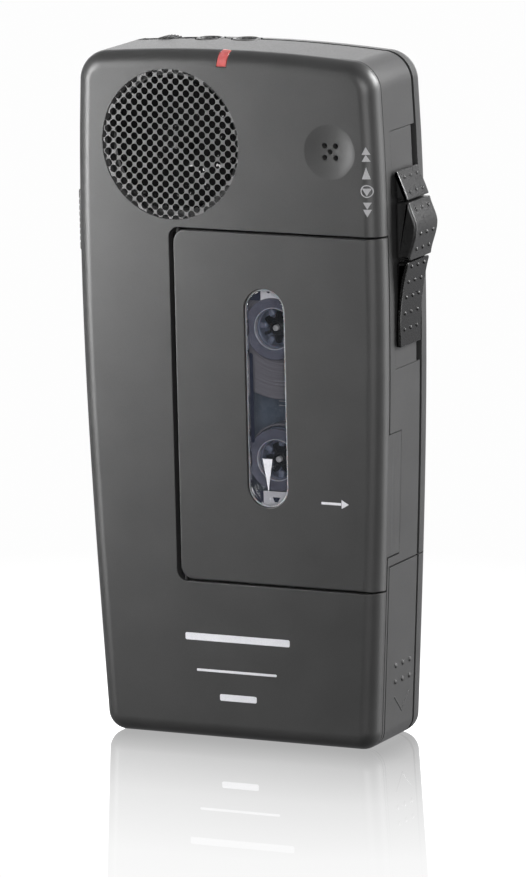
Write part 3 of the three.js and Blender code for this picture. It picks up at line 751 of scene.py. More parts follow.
def green_laminate():
    """Circuit board: solder mask over a woven base with paler copper tracks."""
    n = Nodes("green_laminate")
    parts = n.axes()
    track = n.add("ShaderNodeTexBrick", Vector=n.place, Scale=260.0)
    for key, colour in (("Color1", (0.02, 0.13, 0.055, 1)), ("Color2", (0.03, 0.17, 0.07, 1)),
                        ("Mortar", (0.012, 0.075, 0.035, 1))):
        track.inputs[key].default_value = colour
    track.inputs["Mortar Size"].default_value = 0.03
    weave = n.maths("MULTIPLY", n.maths("SINE", n.maths("MULTIPLY", parts["X"], 9000.0)),
                    n.maths("SINE", n.maths("MULTIPLY", parts["Z"], 9000.0)))
    return n.surface(Base_Color=track.outputs["Color"], Roughness=0.34, Normal=n.bump(weave, 0.01, 0.5))


def rubber():
    n = Nodes("rubber")
    dust = n.noise(0.4, 4.0, 0.65)
    return n.surface(Base_Color=n.ramp(dust, (0.35, grey(0.012)), (0.75, grey(0.03))),
                     Roughness=n.range(dust, 0.7, 0.95), Normal=n.bump(dust, 0.02, 0.8))


def cell_wrap():
    """A cell's plain printed sleeve: grey with one paler band."""
    n = Nodes("cell_wrap")
    parts = n.axes()
    along = n.range(parts["X"], 0.0, 1.0, -0.025, 0.025)
    band = n.ramp(along, (0.28, grey(0.16, -0.08)), (0.3, (0.5, 0.52, 0.55)), (0.4, (0.5, 0.52, 0.55)),
                  (0.42, grey(0.16, -0.08)))
    return n.surface(Base_Color=band, Roughness=0.3, Metallic=0.35, Coat_Weight=0.4,
                     Normal=n.bump(n.noise(2.5), 0.01, 0.4))


CASE = moulded_plastic("case_plastic", 0.038, 0.37, grain=0.24, depth=0.016)
GRILLE = moulded_plastic("grille_plastic", 0.1, 0.4, grain=0.12, depth=0.004, round_edges=0.08)
THUMB = moulded_plastic("thumb_plastic", 0.014, 0.3, grain=0.4, depth=0.01, round_edges=0.15)
# the bottom pad's copy: glossier, and darker than the other pads as painted shade
THUMB_BOTTOM_SHADED = moulded_plastic("thumb_plastic_polished_painted_dark", 0.004, 0.24, grain=0.4, depth=0.01,
                            round_edges=0.15)
GRIP = moulded_plastic("grip_plastic", 0.016, 0.32, grain=0.5, depth=0.04, round_edges=0.15)
COLLAR = satin_plastic("collar_plastic", 0.06, 0.3)
BLACK = satin_plastic("black_plastic", 0.008, 0.32)
# near-black matt, darker than the black plastic: painted shade for parts seen deep in gaps and holes
SHADE_BLACK = satin_plastic("black_painted_shade", 0.002, 0.75)
HUB = milky_plastic("hub_nylon", (0.17, 0.19, 0.25), 0.34, 0.1)
RING = milky_plastic("ring_plastic", (0.5, 0.5, 0.56), 0.14, 0.2)
DISH = milky_plastic("dish_plastic", (0.17, 0.17, 0.21), 0.24, 0.1)
# pale milky edge: partly the plastic's haze, partly a painted highlight of the light caught along the
# window rim
WINDOW_EDGE_SHEEN = milky_plastic("window_edge_haze_and_painted_highlight", (0.3, 0.31, 0.33), 0.12, 0.2)
PIN = satin_plastic("pin_nylon", 0.5, 0.3)
WINDOW = clear_plastic("window_clear", (0.99, 0.99, 1.0), 0.01, 0.03, (0.6, 0.65, 0.75))
SMOKE = clear_plastic("smoke_clear", (0.95, 0.96, 0.985), 0.035, 0.08, (0.5, 0.54, 0.62))
SLATE = satin_plastic("slate_plastic", 0.16, 0.22, warmth=-0.18)
TAPE = wound_tape()
RED = red_lens()
STEEL = metal("plated_steel", (0.6, 0.61, 0.63), 0.26)
DECK = metal("deck_aluminium", (0.55, 0.56, 0.58), 0.38, 0.3, (1, 1, 8))
BRASS = metal("turned_brass", (0.66, 0.5, 0.24), 0.26)
RUBBER = rubber()
POINTER_INK = printed_ink("pale_ink", (0.58, 0.58, 0.62), 0.4)
BOARD = green_laminate()
CONE = pressed_cone()
WRAP = cell_wrap()
LIGHT_INK = printed_ink("light_grey_ink", (0.36, 0.36, 0.37))
WHITE_INK = printed_ink("white_ink", (0.62, 0.62, 0.65), 0.4)
LABEL = paper("label_paper", (0.8, 0.8, 0.83))
NAVY = paper("navy_label", (0.012, 0.017, 0.045))


# ---- case shells
def mic_dimple():
    """A shallow dish round the microphone holes, with a softened rim."""
    radius = (DIMPLE_RADIUS**2 + DIMPLE_DEPTH**2) / (2 * DIMPLE_DEPTH)
    centre = FRONT + DIMPLE_DEPTH - radius
    rim = DIMPLE_RADIUS + 0.25
    profile = [(0, FRONT - 1), (rim, FRONT - 1), (rim, FRONT), (DIMPLE_RADIUS + 0.1, FRONT + 0.02)]
    for i in range(14, -1, -1):
        r = DIMPLE_RADIUS * i / 15
        profile.append((r, centre + math.sqrt(radius**2 - r**2)))
    return lathe(profile, MIC_AT, segments=72)


def mic_holes():
    step = 1.05
    spots = [(0, 0), (step, step), (-step, step), (-step, -step), (step, -step)]
    profile = raised([(0, -1), (0.58, -1), (0.58, 0.3), (0.44, 0.55), (0.44, 3), (0, 3)], FRONT)
    return merge(*[lathe(profile, (MIC_AT[0] + dx, MIC_AT[1] + dz), segments=20) for dx, dz in spots])


def side_seam():
    """A fine groove where the front face panel meets the side, above and below the door."""
    above = right_block((DOOR_SEAM_Y + 0.07, DOOR_SEAM_Y + 0.25), (DOOR_TOP + 1.2, ABOVE), 21.5)
    below = right_block((DOOR_SEAM_Y + 0.1, DOOR_SEAM_Y + 0.32), (BELOW, TAB_BOTTOM - 0.1), 21.5)
    return cut(merge(above, below), case_body(0.35, 8))


def bay_walls():
    """The walls of the cassette bay, from the front face back to the deck."""
    deck = span("deck_plate")[1][0] - CLEAR
    outer = plate((-12.4, 26, 32.9, 92.5), 1.2, (FRONT + WALL + 0.4, deck))
    inner = plate((-11.75, FAR, 33.55, 91.85), 0.6, (FRONT, deck + 1))
    return cut(outer, inner)


def key_slot(grow):
    _, y, z = span("record_key")
    return block((-FAR, -25), (y[0] + 0.6 - grow, y[1] - 0.8 + grow),
                 (z[0] + 0.4 - grow, z[1] - 0.4 + grow))


def index_hole():
    _, y, z = span("index_button")
    return rod(1.6, -FAR, -25, (middle(y), middle(z)), "X", 40)


def chassis_posts():
    deck = span("deck_plate")[1][0] - CLEAR
    spots = [(-24.6, 56.5), (-24.6, 83), (24.2, 114.8)]
    return merge(*[rod(1.7, FRONT + WALL - 0.2, deck, at, segments=24) for at in spots])


def grille_seat():
    low, high = span("speaker_grille")[0]
    radius = (high - low) / 2
    wide, narrow = radius + 0.02, radius - 0.25
    profile = raised([(0, -1), (wide, -1), (wide, 1.1), (narrow, 1.1), (narrow, 3), (0, 3)], FRONT)
    return lathe(profile, GRILLE_AT, segments=120)


def front_cover():
    body = common(SKIN, layer(-20, PARTING - PARTING_GAP / 2))
    body = join(body, chassis_posts())
    body = cut(
        body,
        common(case_body(1.1, 4), layer(4.1, 12)),
        panel_region(0.4, HINGE_GAP, 0.1),
        tab_region(0.08, 0.3, 0.14),
        hatch_region(CLEAR),
        switch_region(0.015, 0.09, 10),
        lamp_region(0.12),
        key_slot(CLEAR),
        index_hole(),
        grille_seat(),
        mic_dimple(),
        mic_holes(),
        wheel_slot(),
        jack_holes(),
        pivot_holes(),
        side_seam(),
    )
    piece("front_cover_shell", body, CASE, "case", "case_plastic", ["front_cover"])
    # the bay walls are near-black as painted shade inside the door gap
    piece("cassette_bay_walls", bay_walls(), SHADE_BLACK, "case", "black_plastic")


def back_grips():
    """Shallow finger grooves across the lower back."""
    bars = [rounded_rect(-16, 16, z, z + 1.1, 0.5) for z in range(10, 24, 3)]
    return slabs(bars, BACK - 0.35, BACK + 1)


def trimmed(body, hatch_gap):
    """A band inside the case, cleared away behind the switch, hatch, wheel and jacks."""
    switch = right_block((0, 6.8), (SWITCH_BOTTOM - 0.6, SWITCH_TOP + 0.6))
    hatch = right_block((0, 5.5), (BELOW, HATCH_TOP + hatch_gap))
    return cut(body, switch, wheel_slot(), jack_holes(), hatch)


def rear_cover():
    bosses = merge(*[rod(2.3, 8.2, BACK - WALL + 0.2, at, segments=28) for at in SCREW_SPOTS])
    sink = [(0, 5), (0.95, 5), (0.95, 9.7), (1.9, 9.7), (1.9, BACK - 0.2), (2.15, BACK + 0.01),
            (2.15, BACK + 1), (0, BACK + 1)]
    sinks = [lathe(sink, at, segments=32) for at in SCREW_SPOTS]
    lip = trimmed(common(LIP, layer(4.3, 6.6)), 1)
    body = join(common(SKIN, layer(PARTING + PARTING_GAP / 2, 20)), bosses, lip)
    notch = cut(right_block((PARTING, 8.6), (HATCH_TOP, HATCH_TOP + 0.28)), case_body(0.4, 8))
    recess = plate((-17, 17, 76, 98), 1.2, (BACK - 0.3, BACK + 1))
    body = cut(body, *sinks, wheel_slot(), jack_holes(), back_grips(), recess, notch)
    piece("rear_cover_shell", body, CASE, "case", "case_plastic", ["rear_cover"])


def parting_gap_painted_shade():
    """A black band set in the gap between the two covers: painted shade for the dark inside of the gap.
    """
    reach = PARTING_GAP / 2 - 0.01
    band = common(cut(case_body(0.5, 4), case_body(1.1, 4)), layer(PARTING - reach, PARTING + reach))
    piece("parting_gap_painted_shade", trimmed(band, 0.3), RUBBER, "case", "black_rubber")


def blank_plate():
    sheet = plate((-16.7, 16.7, 76.3, 97.7), 1.0, (BACK - 0.28, BACK - 0.08))
    piece("rear_blank_plate", softened(sheet, 0.05), BLACK, "case", "black_plastic")


def switch_plate():
    body = common(SKIN, switch_region(0, 0, SWITCH_SLOT))
    piece("switch_slide_plate", body, CASE, "case", "case_plastic", ["switch_plate"])


def cross_headed(profile, at, turn, blade, segments):
    """A turned screw with a cross cut into its head."""
    cross = join(turned_about_y(blade, turn, at), turned_about_y(blade, turn + 90, at))
    return cut(lathe(profile, at, segments=segments), cross)


def case_screws():
    profile = [(0, 2), (0.4, 2), (0.65, 2.4), (0.65, 9.9), (1.6, 9.9), (1.7, 10.0), (1.7, 10.3),
               (1.55, 10.5), (1.1, 10.66), (0.5, 10.7), (0, 10.7)]
    blade = block((-1.05, 1.05), (10.15, 12), (-0.2, 0.2))
    for i, at in enumerate(SCREW_SPOTS, 1):
        body = cross_headed(profile, at, 20 + 37 * i, blade, 36)
        piece(f"rear_screw_{i}", body, STEEL, "case", "plated_steel", [f"case_screw_{i}"])


# ---- front trim
def grille_hole(at, front, back):
    """A round hole, slightly wider at the face and again behind it."""
    mouth, neck, room = GRILLE_HOLE + 0.02, GRILLE_HOLE, GRILLE_HOLE + 0.03
    profile = raised([(0, -1), (mouth, -1), (mouth, 0), (neck, 0.03), (neck, 0.06), (room, 0.12)], front)
    return lathe(profile + [(room, back + 1), (0, back + 1)], at, segments=20)


def speaker_grille():
    """A thin disc whose round holes lie on a lattice turned by 45 degrees."""
    x, y, z = span("speaker_grille")
    radius = (x[1] - x[0]) / 2
    front = y[0]
    turn = math.radians(-1.3)
    holes = []
    for row in range(-14, 15):
        for column in range(-14, 15):
            u, v = column * GRILLE_PITCH / 2, row * GRILLE_PITCH / 2
            if (row + column) % 2 or math.hypot(u, v) > radius + 0.3:
                continue
            at = (u * math.cos(turn) - v * math.sin(turn), u * math.sin(turn) + v * math.cos(turn))
            holes.append(grille_hole(at, front, y[1]))
    field = rod(radius - 0.01, front - 2, y[1] + 2, (0, 0), segments=120)
    disc = rod(radius, front, y[1], (0, 0), segments=120)
    thin = rod(radius - 0.5, front + 0.15, y[1] + 2, (0, 0), segments=120)
    body = cut(disc, common(field, merge(*holes)), thin)
    body = moved(body, Matrix.Translation((middle(x), 0, middle(z))))
    piece("perforated_grille", body, GRILLE, "case", "grille_plastic", ["speaker_grille"], crease=40)


def speaker_cone():
    ribs = [(0, -7.6), (1.4, -7.45), (2.6, -6.9), (3.4, -6.5), (5, -7.0), (7, -7.7), (9.4, -8.45),
            (10.2, -8.75), (10.8, -8.9), (11.4, -8.85), (11.7, -8.9), (11.7, -8.6), (11, -8.5),
            (4.6, -6.2), (4.6, -5.1), (0, -5.1)]
    piece("pressed_speaker_cone", lathe(ribs, GRILLE_AT, segments=80), CONE, "case", "cone_paper",
          ["speaker_cone"])


def light_pipe():
    body = common(SKIN, lamp_region(0))
    piece("red_light_pipe", body, RED, "case", "red_lens", ["lamp_light_pipe"])


def film(prisms):
    """A thin layer over the case, wherever the prisms cross its face."""
    return cut(common(case_body(-PRINT), prisms), OUTSIDE)


def printed(outlines):
    """A printed layer on the face with these outlines."""
    return film(slabs(outlines, FRONT - 1, FRONT + 2.2))


def triangle(x, low, high, half, up=True):
    if up:
        return [(x - half, low), (x + half, low), (x, high)]
    return [(x - half, high), (x, low), (x + half, high)]


def direction_symbols():
    """Fast forward, play, a ringed play-back mark and fast rewind, from the top down."""
    x = 27.6
    half = 0.75
    outlines = [
        triangle(x, 107.83, 109.2, half), triangle(x, 106.62, 107.83, half),
        triangle(x, 103.5, 105.65, half),
        triangle(x + 0.05, 100.5, 101.85, 0.84, up=False),
        triangle(x + 0.1, 98.15, 99.35, half, up=False), triangle(x + 0.1, 96.75, 98.1, half, up=False),
    ]
    circle = cut(slab(arc(x + 0.05, 101.35, 1.13, 0, 350, 35), FRONT - 1, FRONT + 2.2),
                 slab(arc(x + 0.05, 101.35, 0.95, 0, 350, 35), FRONT - 2, FRONT + 3))
    marks = merge(printed(outlines), film(circle))
    print_on("switch_symbols", marks, LIGHT_INK, "case", "white_plastic")


def plain_rules():
    """Three plain printed rules on the lower face."""
    outlines = [
        rounded_rect(-10.0, 10.7, 18.2, 19.5, 0.3, 4),
        rounded_rect(-7.9, 8.0, 12.55, 13.0, 0.2, 4),
        rounded_rect(-3.4, 3.9, 7.4, 8.6, 0.3, 4),
    ]
    print_on("printed_rules", printed(outlines), WHITE_INK, "case", "white_plastic")


# ---- cassette door
def door_scoop():
    """A soft shallow finger scoop along the tab, following the curve of the side."""
    low, high = TAB_BOTTOM + 0.3, TAB_TOP - 0.6
    front, back, depth = -6.6, -3.2, 0.1
    rings = []
    for i in range(17):
        z = low + (high - low) * i / 16
        deep = depth * min(1.0, 0.15 + (high - z) / 9) * min(1.0, 0.3 + (z - low) / 1.5)
        ring_points = [(FAR, front, z), (FAR, back, z)]
        for step in range(12, -1, -1):
            t = step / 12
            dip = math.sin(math.pi * t)
            y = front + (back - front) * t
            ring_points.append((half_width(z) + 0.02 - (deep + 0.02) * dip, y, z))
        rings.append(ring_points)
    return loft(rings)


def window_rings(face, steps):
    """The window's outline at each (depth behind face, growth)."""
    return [ring_at(face + depth, stadium(grow)) for depth, grow in steps]


def cassette_door():
    region = join(panel_region(0, 0, -EDGE), tab_region(0, 0, 0))
    hinge_rib = block((DOOR_LEFT, -8.9), (FRONT + WALL - 0.2, -9.15),
                      (DOOR_BOTTOM + 0.5, DOOR_TOP - 0.5))
    catch = block((27.3, 28.6), (-4.7, -3.4), (44, 49))
    window = loft(window_rings(FRONT, ((-1, 0.18), (0, 0.18), (0.06, 0.06), (0.2, 0), (3, 0))))
    rebate = slab(stadium(1.1), FRONT + 0.9, FRONT + 3)
    body = join(common(SKIN, region), hinge_rib, catch)
    body = cut(body, window, rebate, pivot_holes(), door_scoop())
    piece("cassette_door_shell", body, CASE, "door", "case_plastic", ["cassette_door"])


def door_window():
    """A clear window with a rounded rim, held by a thin flange inside the door. The rim is a pale milky
    bead: partly the plastic's haze, partly a painted highlight along the edge.
    """
    face, back = span("door_window")[1]
    lens = window_rings(face, ((0.05, -0.5), (0.06, -0.42), (0.1, -0.36), (0.2, -0.33), (0.9, -0.33),
                               (0.9, 0.8)))
    lens.append(ring_at(back, stadium(0.8)))
    piece("door_window_lens", loft(lens), WINDOW, "door", "window_clear", ["door_window"])
    rim = window_rings(face, ((0.12, -0.3), (0.02, -0.24), (0.0, -0.17), (0.02, -0.1), (0.12, -0.04),
                              (0.5, -0.04), (0.5, -0.3)))
    piece("door_window_edge", hoop(rim), WINDOW_EDGE_SHEEN, "door", "window_clear")
    mark = slab([(6.03, 52.2), (8.0, 52.2), (7.1, 46.2)], face - 0.012, face - 0.002)
    print_on("window_pointer", mark, POINTER_INK, "door", "white_plastic")


def door_arrow():
    """A plain arrow that shows which way the door opens."""
    z, x0, x1 = 44.95, 17.6, 22.95
    shaft = [(x0, z - 0.22), (x1 - 1.5, z - 0.22), (x1 - 1.5, z + 0.22), (x0, z + 0.22)]
    head = [(x1 - 1.4, z - 0.8), (x1, z), (x1 - 1.4, z + 0.8)]
    print_on("door_arrow", printed([shaft, head]), WHITE_INK, "door", "white_plastic")


# ---- slide switch
def pad_profiles():
    """The three thumb pads' outlines in X and Z, from the carrier outwards."""
    base = span("thumb_pad_middle")[0][0]
    top = bezier((32.95, 99.05), (32.3, 100.8), (31.5, 102.6), (31.0, 103.7), steps=8)
    top.append((30.85, 104.1))
    mid = bezier((33.1, 88.35), (33.3, 90.4), (34.4, 91.9), (34.5, 94.2), steps=12)
    mid += bezier((34.5, 94.2), (34.5, 95.6), (33.3, 97.4), (33.1, 98.7), steps=10)[1:]
    low = bezier((30.8, 72.6), (30.8, 77.6), (31.2, 82.6), (32.8, 88), steps=14)
    return {
        "thumb_pad_top": [(base, 99.05), *top, (base, 104.2)],
        "thumb_pad_middle": [(base, 88.35), *mid, (base, 98.7)],
        "thumb_pad_bottom": [(base, 72.6), *low, (base, 88)],
    }


def outer_x(profile, z):
    """The pad's outer surface at height z."""
    best = profile[0][0]
    for (x0, z0), (x1, z1) in zip(profile, profile[1:]):
        if min(z0, z1) <= z <= max(z0, z1) and abs(z1 - z0) > 1e-6:
            best = max(best, x0 + (x1 - x0) * (z - z0) / (z1 - z0))
    return best


def thumb_pads():
    rows = {
        "thumb_pad_top": (102.9, 100.3),
        "thumb_pad_middle": (97.3, 93.0, 90.2),
        "thumb_pad_bottom": (87.0, 84.2, 81.4, 78.5, 75.6),
    }
    carrier = span("slide_carrier")
    for name, profile in pad_profiles().items():
        _, y, _ = span(name)
        pad = rounded_slab(filleted(profile, 0.7), y[0], y[1], 0.55, 0.2)
        pocket = block((29, 31.1 + CLEAR), (-4.2, 2.9), (carrier[2][0] - 2.3, carrier[2][1] + CLEAR))
        shelf = block((29, 31.1 + CLEAR), (2, 4.9), (85.7, 97.3))
        pad = cut(pad, pocket, shelf)
        dome = [(0, -0.3), (0.36, -0.3), (0.36, 0.02), (0.31, 0.14), (0.17, 0.24), (0, 0.27)]
        dots = [lathe(raised(dome, outer_x(profile, z)), (dot_y, z), "X", 16)
                for z in rows[name] for dot_y in (-3.1, -0.5, 2.1)]
        pad = join(pad, *dots)
        # the bottom pad takes the darker copy, painted shade
        finish = {"thumb_pad_middle": GRIP, "thumb_pad_bottom": THUMB_BOTTOM_SHADED}.get(name, THUMB)
        piece(f"{name}_moulded", pad, finish, "function_slide", "thumb_plastic", [name])


# ---- keys, wheel and jacks
def record_key():
    x, y, z = span("record_key")
    profile = rounded_rect(x[0], -28, z[0] + 0.4, z[1] - 0.4, 0.6, 6)
    key = rounded_slab(profile, y[0] + 0.6, y[1] - 0.8, 0.35, 0.35)
    ridges = merge(*[block((x[0] - 1, x[0] + 0.18), (-20, 5), (r, r + 0.35))
                     for r in (z[0] + 2 + 1.1 * i for i in range(8))])
    flange = block((-28.1, -27.5), (y[0], y[1]), (z[0], z[1]))
    body = join(cut(key, ridges), flange)
    piece("record_key_moulded", body, THUMB, "record_key", "thumb_plastic", ["record_key"])


def index_button():
    x, y, z = span("index_button")
    profile = raised([(0, 0), (0.5, 0.05), (0.9, 0.2), (1.15, 0.45), (1.28, 0.8), (1.3, 1.2), (1.3, 3.4),
                      (1.6, 3.4)], x[0])
    body = lathe(profile + [(1.6, x[1]), (0, x[1])], (middle(y), middle(z)), "X", 40)
    piece("index_button_moulded", body, THUMB, "index_button", "thumb_plastic", ["index_button"])


def volume_wheel():
    """A thumb wheel with a knurled rim and a dished side."""
    x, y, _ = span("volume_wheel")
    radius = (x[1] - x[0]) / 2
    teeth = 52
    outline = []
    for i in range(teeth):
        for part, r in ((0.0, radius - 0.32), (0.22, radius - 0.3), (0.42, radius), (0.78, radius)):
            turn = 2 * math.pi * (i + part) / teeth
            outline.append((WHEEL_AT[0] + r * math.cos(turn), WHEEL_AT[1] + r * math.sin(turn)))
    body = slab(outline, y[0], y[1])
    body = cut(body, ring(1.8, radius - 1.2, y[0] - 1, y[0] + 0.4, WHEEL_AT),
               ring(1.8, radius - 1.2, y[1] - 0.4, y[1] + 1, WHEEL_AT),
               rod(1.1, y[0] - 1, y[1] + 1, WHEEL_AT))
    piece("volume_wheel_knurled", body, THUMB, "volume_wheel", "black_plastic", ["volume_wheel"])


def jack_sockets():
    """Each socket has a rounded collar standing just above the top end."""
    for name in ("earphone_jack", "microphone_jack"):
        x, y, z = span(name)
        at = (middle(x), PARTING)
        rim = [(1.8, -0.45), (1.86, -0.2), (2.0, -0.06), (2.2, -0.02), (2.42, -0.06), (2.54, -0.2),
               (2.58, -0.5)]
        collar = [(1.8, 114), *raised(rim, z[1]), (2.58, 119.9), (2.8, 119.9), (2.8, 119.5),
                  (2.4, 119.5), (2.4, 114)]
        body = block((x[0], x[1]), (y[0], y[1]), (z[0], 119.7))
        body = softened(cut(body, rod(2.1, 114, 121, at, "Z")), 0.2, 2)
        spring = ring(1.35, 1.6, 115, 118.5, at, "Z", 40)
        piece(f"{name}_body", body, BLACK, "case", "black_plastic", [name])
        piece(f"{name}_collar", lathe(collar, at, "Z", 64), COLLAR, "case", "black_plastic")
        piece(f"{name}_spring", spring, BRASS, "case", "brass")


# ---- battery cover
def battery_cover():
    tongue = block((25.9, 27.5), (-4.5, -0.8), (30.6, 32.8))
    catch = block((25.9, 26.6), (-4.5, -0.8), (30.6, 36))
    dome = [(0, -0.6), (0.5, -0.6), (0.5, 0.02), (0.42, 0.17), (0.24, 0.27), (0, 0.3)]
    grips = [lathe(raised(dome, half_width(z)), (y + 0.3, z), "X", 20)
             for z in (14.45, 11.5) for y in (-2.95, 0, 2.95)]
    chevron = [(-3.0, 8.6), (-2.7, 8.8), (0.3, 6.0), (3.3, 8.8), (3.6, 8.6), (0.3, 5.5)]
    mark = cut(common(case_body(-0.08), slab_x(chevron, INBOARD, FAR)), case_body(0.8, 6))
    body = join(common(SKIN, hatch_region(0)), tongue, catch, *grips, mark)
    piece("battery_cover_shell", body, CASE, "battery_cover", "case_plastic", ["battery_cover"])


# ---- cassette
CASSETTE_X, CASSETTE_Y, CASSETTE_Z = span("cassette_shell_front")
SHELL_BACK = span("cassette_shell_rear")[1]


def cassette_outline(inset, radius):
    return rounded_rect(CASSETTE_X[0] + inset, CASSETTE_X[1] - inset, CASSETTE_Z[0] + inset,
                        CASSETTE_Z[1] - inset, radius)


def cassette_half(outer_y, inner_y):
    """One half of the shell: a dished plate with hub holes and a head mouth on its right side."""
    shell = softened(slab(cassette_outline(0, 1.6), *sorted((outer_y, inner_y))), 0.3, 3)
    depth = 0.9 if outer_y < inner_y else -0.9
    pocket = slab(cassette_outline(0.9, 0.7), *sorted((outer_y + depth, inner_y + depth)))
    side = CASSETTE_X[1]
    mouth = block((side - 3, side + 1), (CASSETTE_Y[0] + 1.2, SHELL_BACK[1] - 1.2), (56.3, 70.4))
    body = cut(shell, pocket, *hub_holes(3.7), mouth)
    if depth < 0:
        return body
    label_beds = [plate((CASSETTE_X[0] + 2, side - 2, *zs), 0.8, (outer_y - 1, outer_y + 0.15))
                  for zs in ((80.2, 89.9), (37.1, 46.1))]
    return cut(body, *label_beds)


def hub_holes(radius):
    return [rod(radius, -12, 1, at, segments=64) for at in (SUPPLY_AT, TAKEUP_AT)]


def cassette():
    front = cassette_half(*CASSETTE_Y)
    rear = cassette_half(*reversed(SHELL_BACK))
    piece("cassette_front_half", front, SMOKE, "case", "smoke_clear", ["cassette_shell_front"])
    piece("cassette_rear_half", rear, SLATE, "case", "smoke_clear", ["cassette_shell_rear"])
    cassette_labels()
    cassette_screws()
    dish = [(3.86, 0.9), (3.86, 0.4), (4.4, 0.33), (5.1, 0.12), (5.5, 0.0), (5.62, 0.06), (5.62, 0.9)]
    lip = [(3.62, 0.9), (3.62, 0.05), (3.68, -0.03), (3.78, -0.03), (3.85, 0.05), (3.85, 0.9)]
    for name, profile, material in (("dishes", dish, DISH), ("rims", lip, RING)):
        profile = raised(profile, CASSETTE_Y[0])
        rings = merge(*[lathe(profile, at, segments=96) for at in (SUPPLY_AT, TAKEUP_AT)])
        piece(f"cassette_hub_{name}", rings, material, "case", "smoke_clear")


def cassette_labels():
    """Blank paper labels at both ends, a navy border, and a plain tape scale beside the window."""
    face = CASSETTE_Y[0]
    x0, x1 = CASSETTE_X[0] + 2.15, CASSETTE_X[1] - 2.15
    white = [rounded_rect(5.4, x1, 80.35, 89.75, 0.3), rounded_rect(5.1, x1, 37.25, 45.95, 0.3)]
    sheets = slabs(white, face + 0.03, face + 0.1)
    hubs = hub_holes(5.5)
    print_on("cassette_labels", cut(sheets, *hubs), LABEL, "case", "white_plastic")
    dark = [rounded_rect(x0, 5.5, 80.35, 89.75, 0.3), rounded_rect(x0, 5.2, 37.25, 45.95, 0.3)]
    low_ink, high_ink = (face - 0.01, face + 0.02), (face - 0.03, face - 0.01)
    navy = cut(slabs(dark, *low_ink), *hubs)
    strip = plate((2.6, 3.7, 54.6, 70.8), 0.3, high_ink)
    marks = slabs([[(7.0, 44.9), (8.5, 44.9), (8.0, 44.0), (7.4, 44.0)],
                   [(6.6, 82.1), (7.7, 82.1), (7.0, 81.7)]], *low_ink)
    print_on("cassette_navy_print", merge(navy, strip, marks), NAVY, "case", "black_plastic")
    ticks = [[(x, z), (11.4, z), (11.4, z + 0.14), (x, z + 0.14)]
             for x, z in ((8.7, 61.6), (8.7, 62.4), (7.9, 65.3), (7.9, 66.0), (9.2, 69.1))]
    print_on("cassette_tape_scale", slabs(ticks, *high_ink), LIGHT_INK, "case", "white_plastic")


def cassette_screws():
    left, right = CASSETTE_X[0] + 2.2, CASSETTE_X[1] - 2.2
    spots = [(left, 78), (right, 78), (left, 48), (right, 48)]
    profile = [(0, -8.96), (0.6, -8.95), (0.85, -8.88), (0.9, -8.75), (0.9, -8.2), (0, -8.2)]
    blade = block((-0.6, 0.6), (-10, -8.72), (-0.12, 0.12))
    screws = [cross_headed(profile, at, 31 * i, blade, 28) for i, at in enumerate(spots)]
    piece("cassette_screws", merge(*screws), STEEL, "case", "plated_steel")


def reel(name, at, pack_name, body, turn):
    """Hub with six inner lugs, the wound tape round it, and the spindle that drives it."""
    low, high = span(f"{name}_hub")[1]
    rim = [(3.45, 0.35), (3.6, 0.15), (4.3, 0.15), (4.5, 0.5), (5.1, 0.55), (5.5, 0.62), (5.65, 0.8)]
    rim = lathe(raised(rim, low) + [(5.65, high), (3.45, high)], at, segments=72)
    lug = softened(block((2.15, 3.7), (low + 0.5, high - 0.7), (-0.6, 0.6)), 0.4, 4)
    lugs = [turned_about_y(lug, -(60 * i + turn), at) for i in range(6)]
    web = ring(2.0, 3.6, -5.4, -5.0, at)
    piece(f"{name}_hub_nylon", join(rim, *lugs, web), HUB, body, "white_plastic", [f"{name}_hub"])
    x, y, _ = span(pack_name)
    outer = (x[1] - x[0]) / 2
    inner, soft = 5.95, 0.1
    pack = lathe([(inner, y[0]), (outer - soft, y[0]), (outer, y[0] + soft), (outer, y[1] - soft),
                  (outer - soft, y[1]), (inner, y[1])], at, segments=96)
    piece(f"{pack_name}_wound", pack, TAPE, body, "tape_brown", [pack_name])
    spindle(name, at, body, turn + 30)


def spindle(name, at, body, turn):
    y = span(f"{name}_spindle")[1]
    core = lathe([(0.85, y[0]), (1.1, y[0]), (1.3, y[0] + 0.15), (1.4, y[0] + 0.5), (1.4, 1.1),
                  (6.9, 1.1), (7.5, 1.3), (7.5, 2.9), (7.3, 3.1), (0.85, 3.1)], at, segments=56)
    outline = [(1.1, -0.32), (2.9, -0.26), (2.9, 0.26), (1.1, 0.32)]
    tapered = [(1.1, -0.25), (1.9, -0.18), (1.9, 0.18), (1.1, 0.25)]
    wing = loft([ring_at(y[0] + 0.1, tapered), ring_at(y[0] + 0.9, outline), ring_at(-2.2, outline)])
    wings = [turned_about_y(wing, -(60 * i + turn), at) for i in range(6)]
    turned = join(core, *wings)
    piece(f"{name}_spindle_turned", turned, BLACK, body, "black_plastic", [f"{name}_spindle"])
    axle = lathe([(0, -8.3), (0.25, -8.3), (0.42, -8.24), (0.55, -8.05), (0.55, 3.9), (0, 3.9)], at,
                 segments=32)
    piece(f"{name}_axle_pin", axle, PIN, "case", "plated_steel", [f"{name}_axle"])


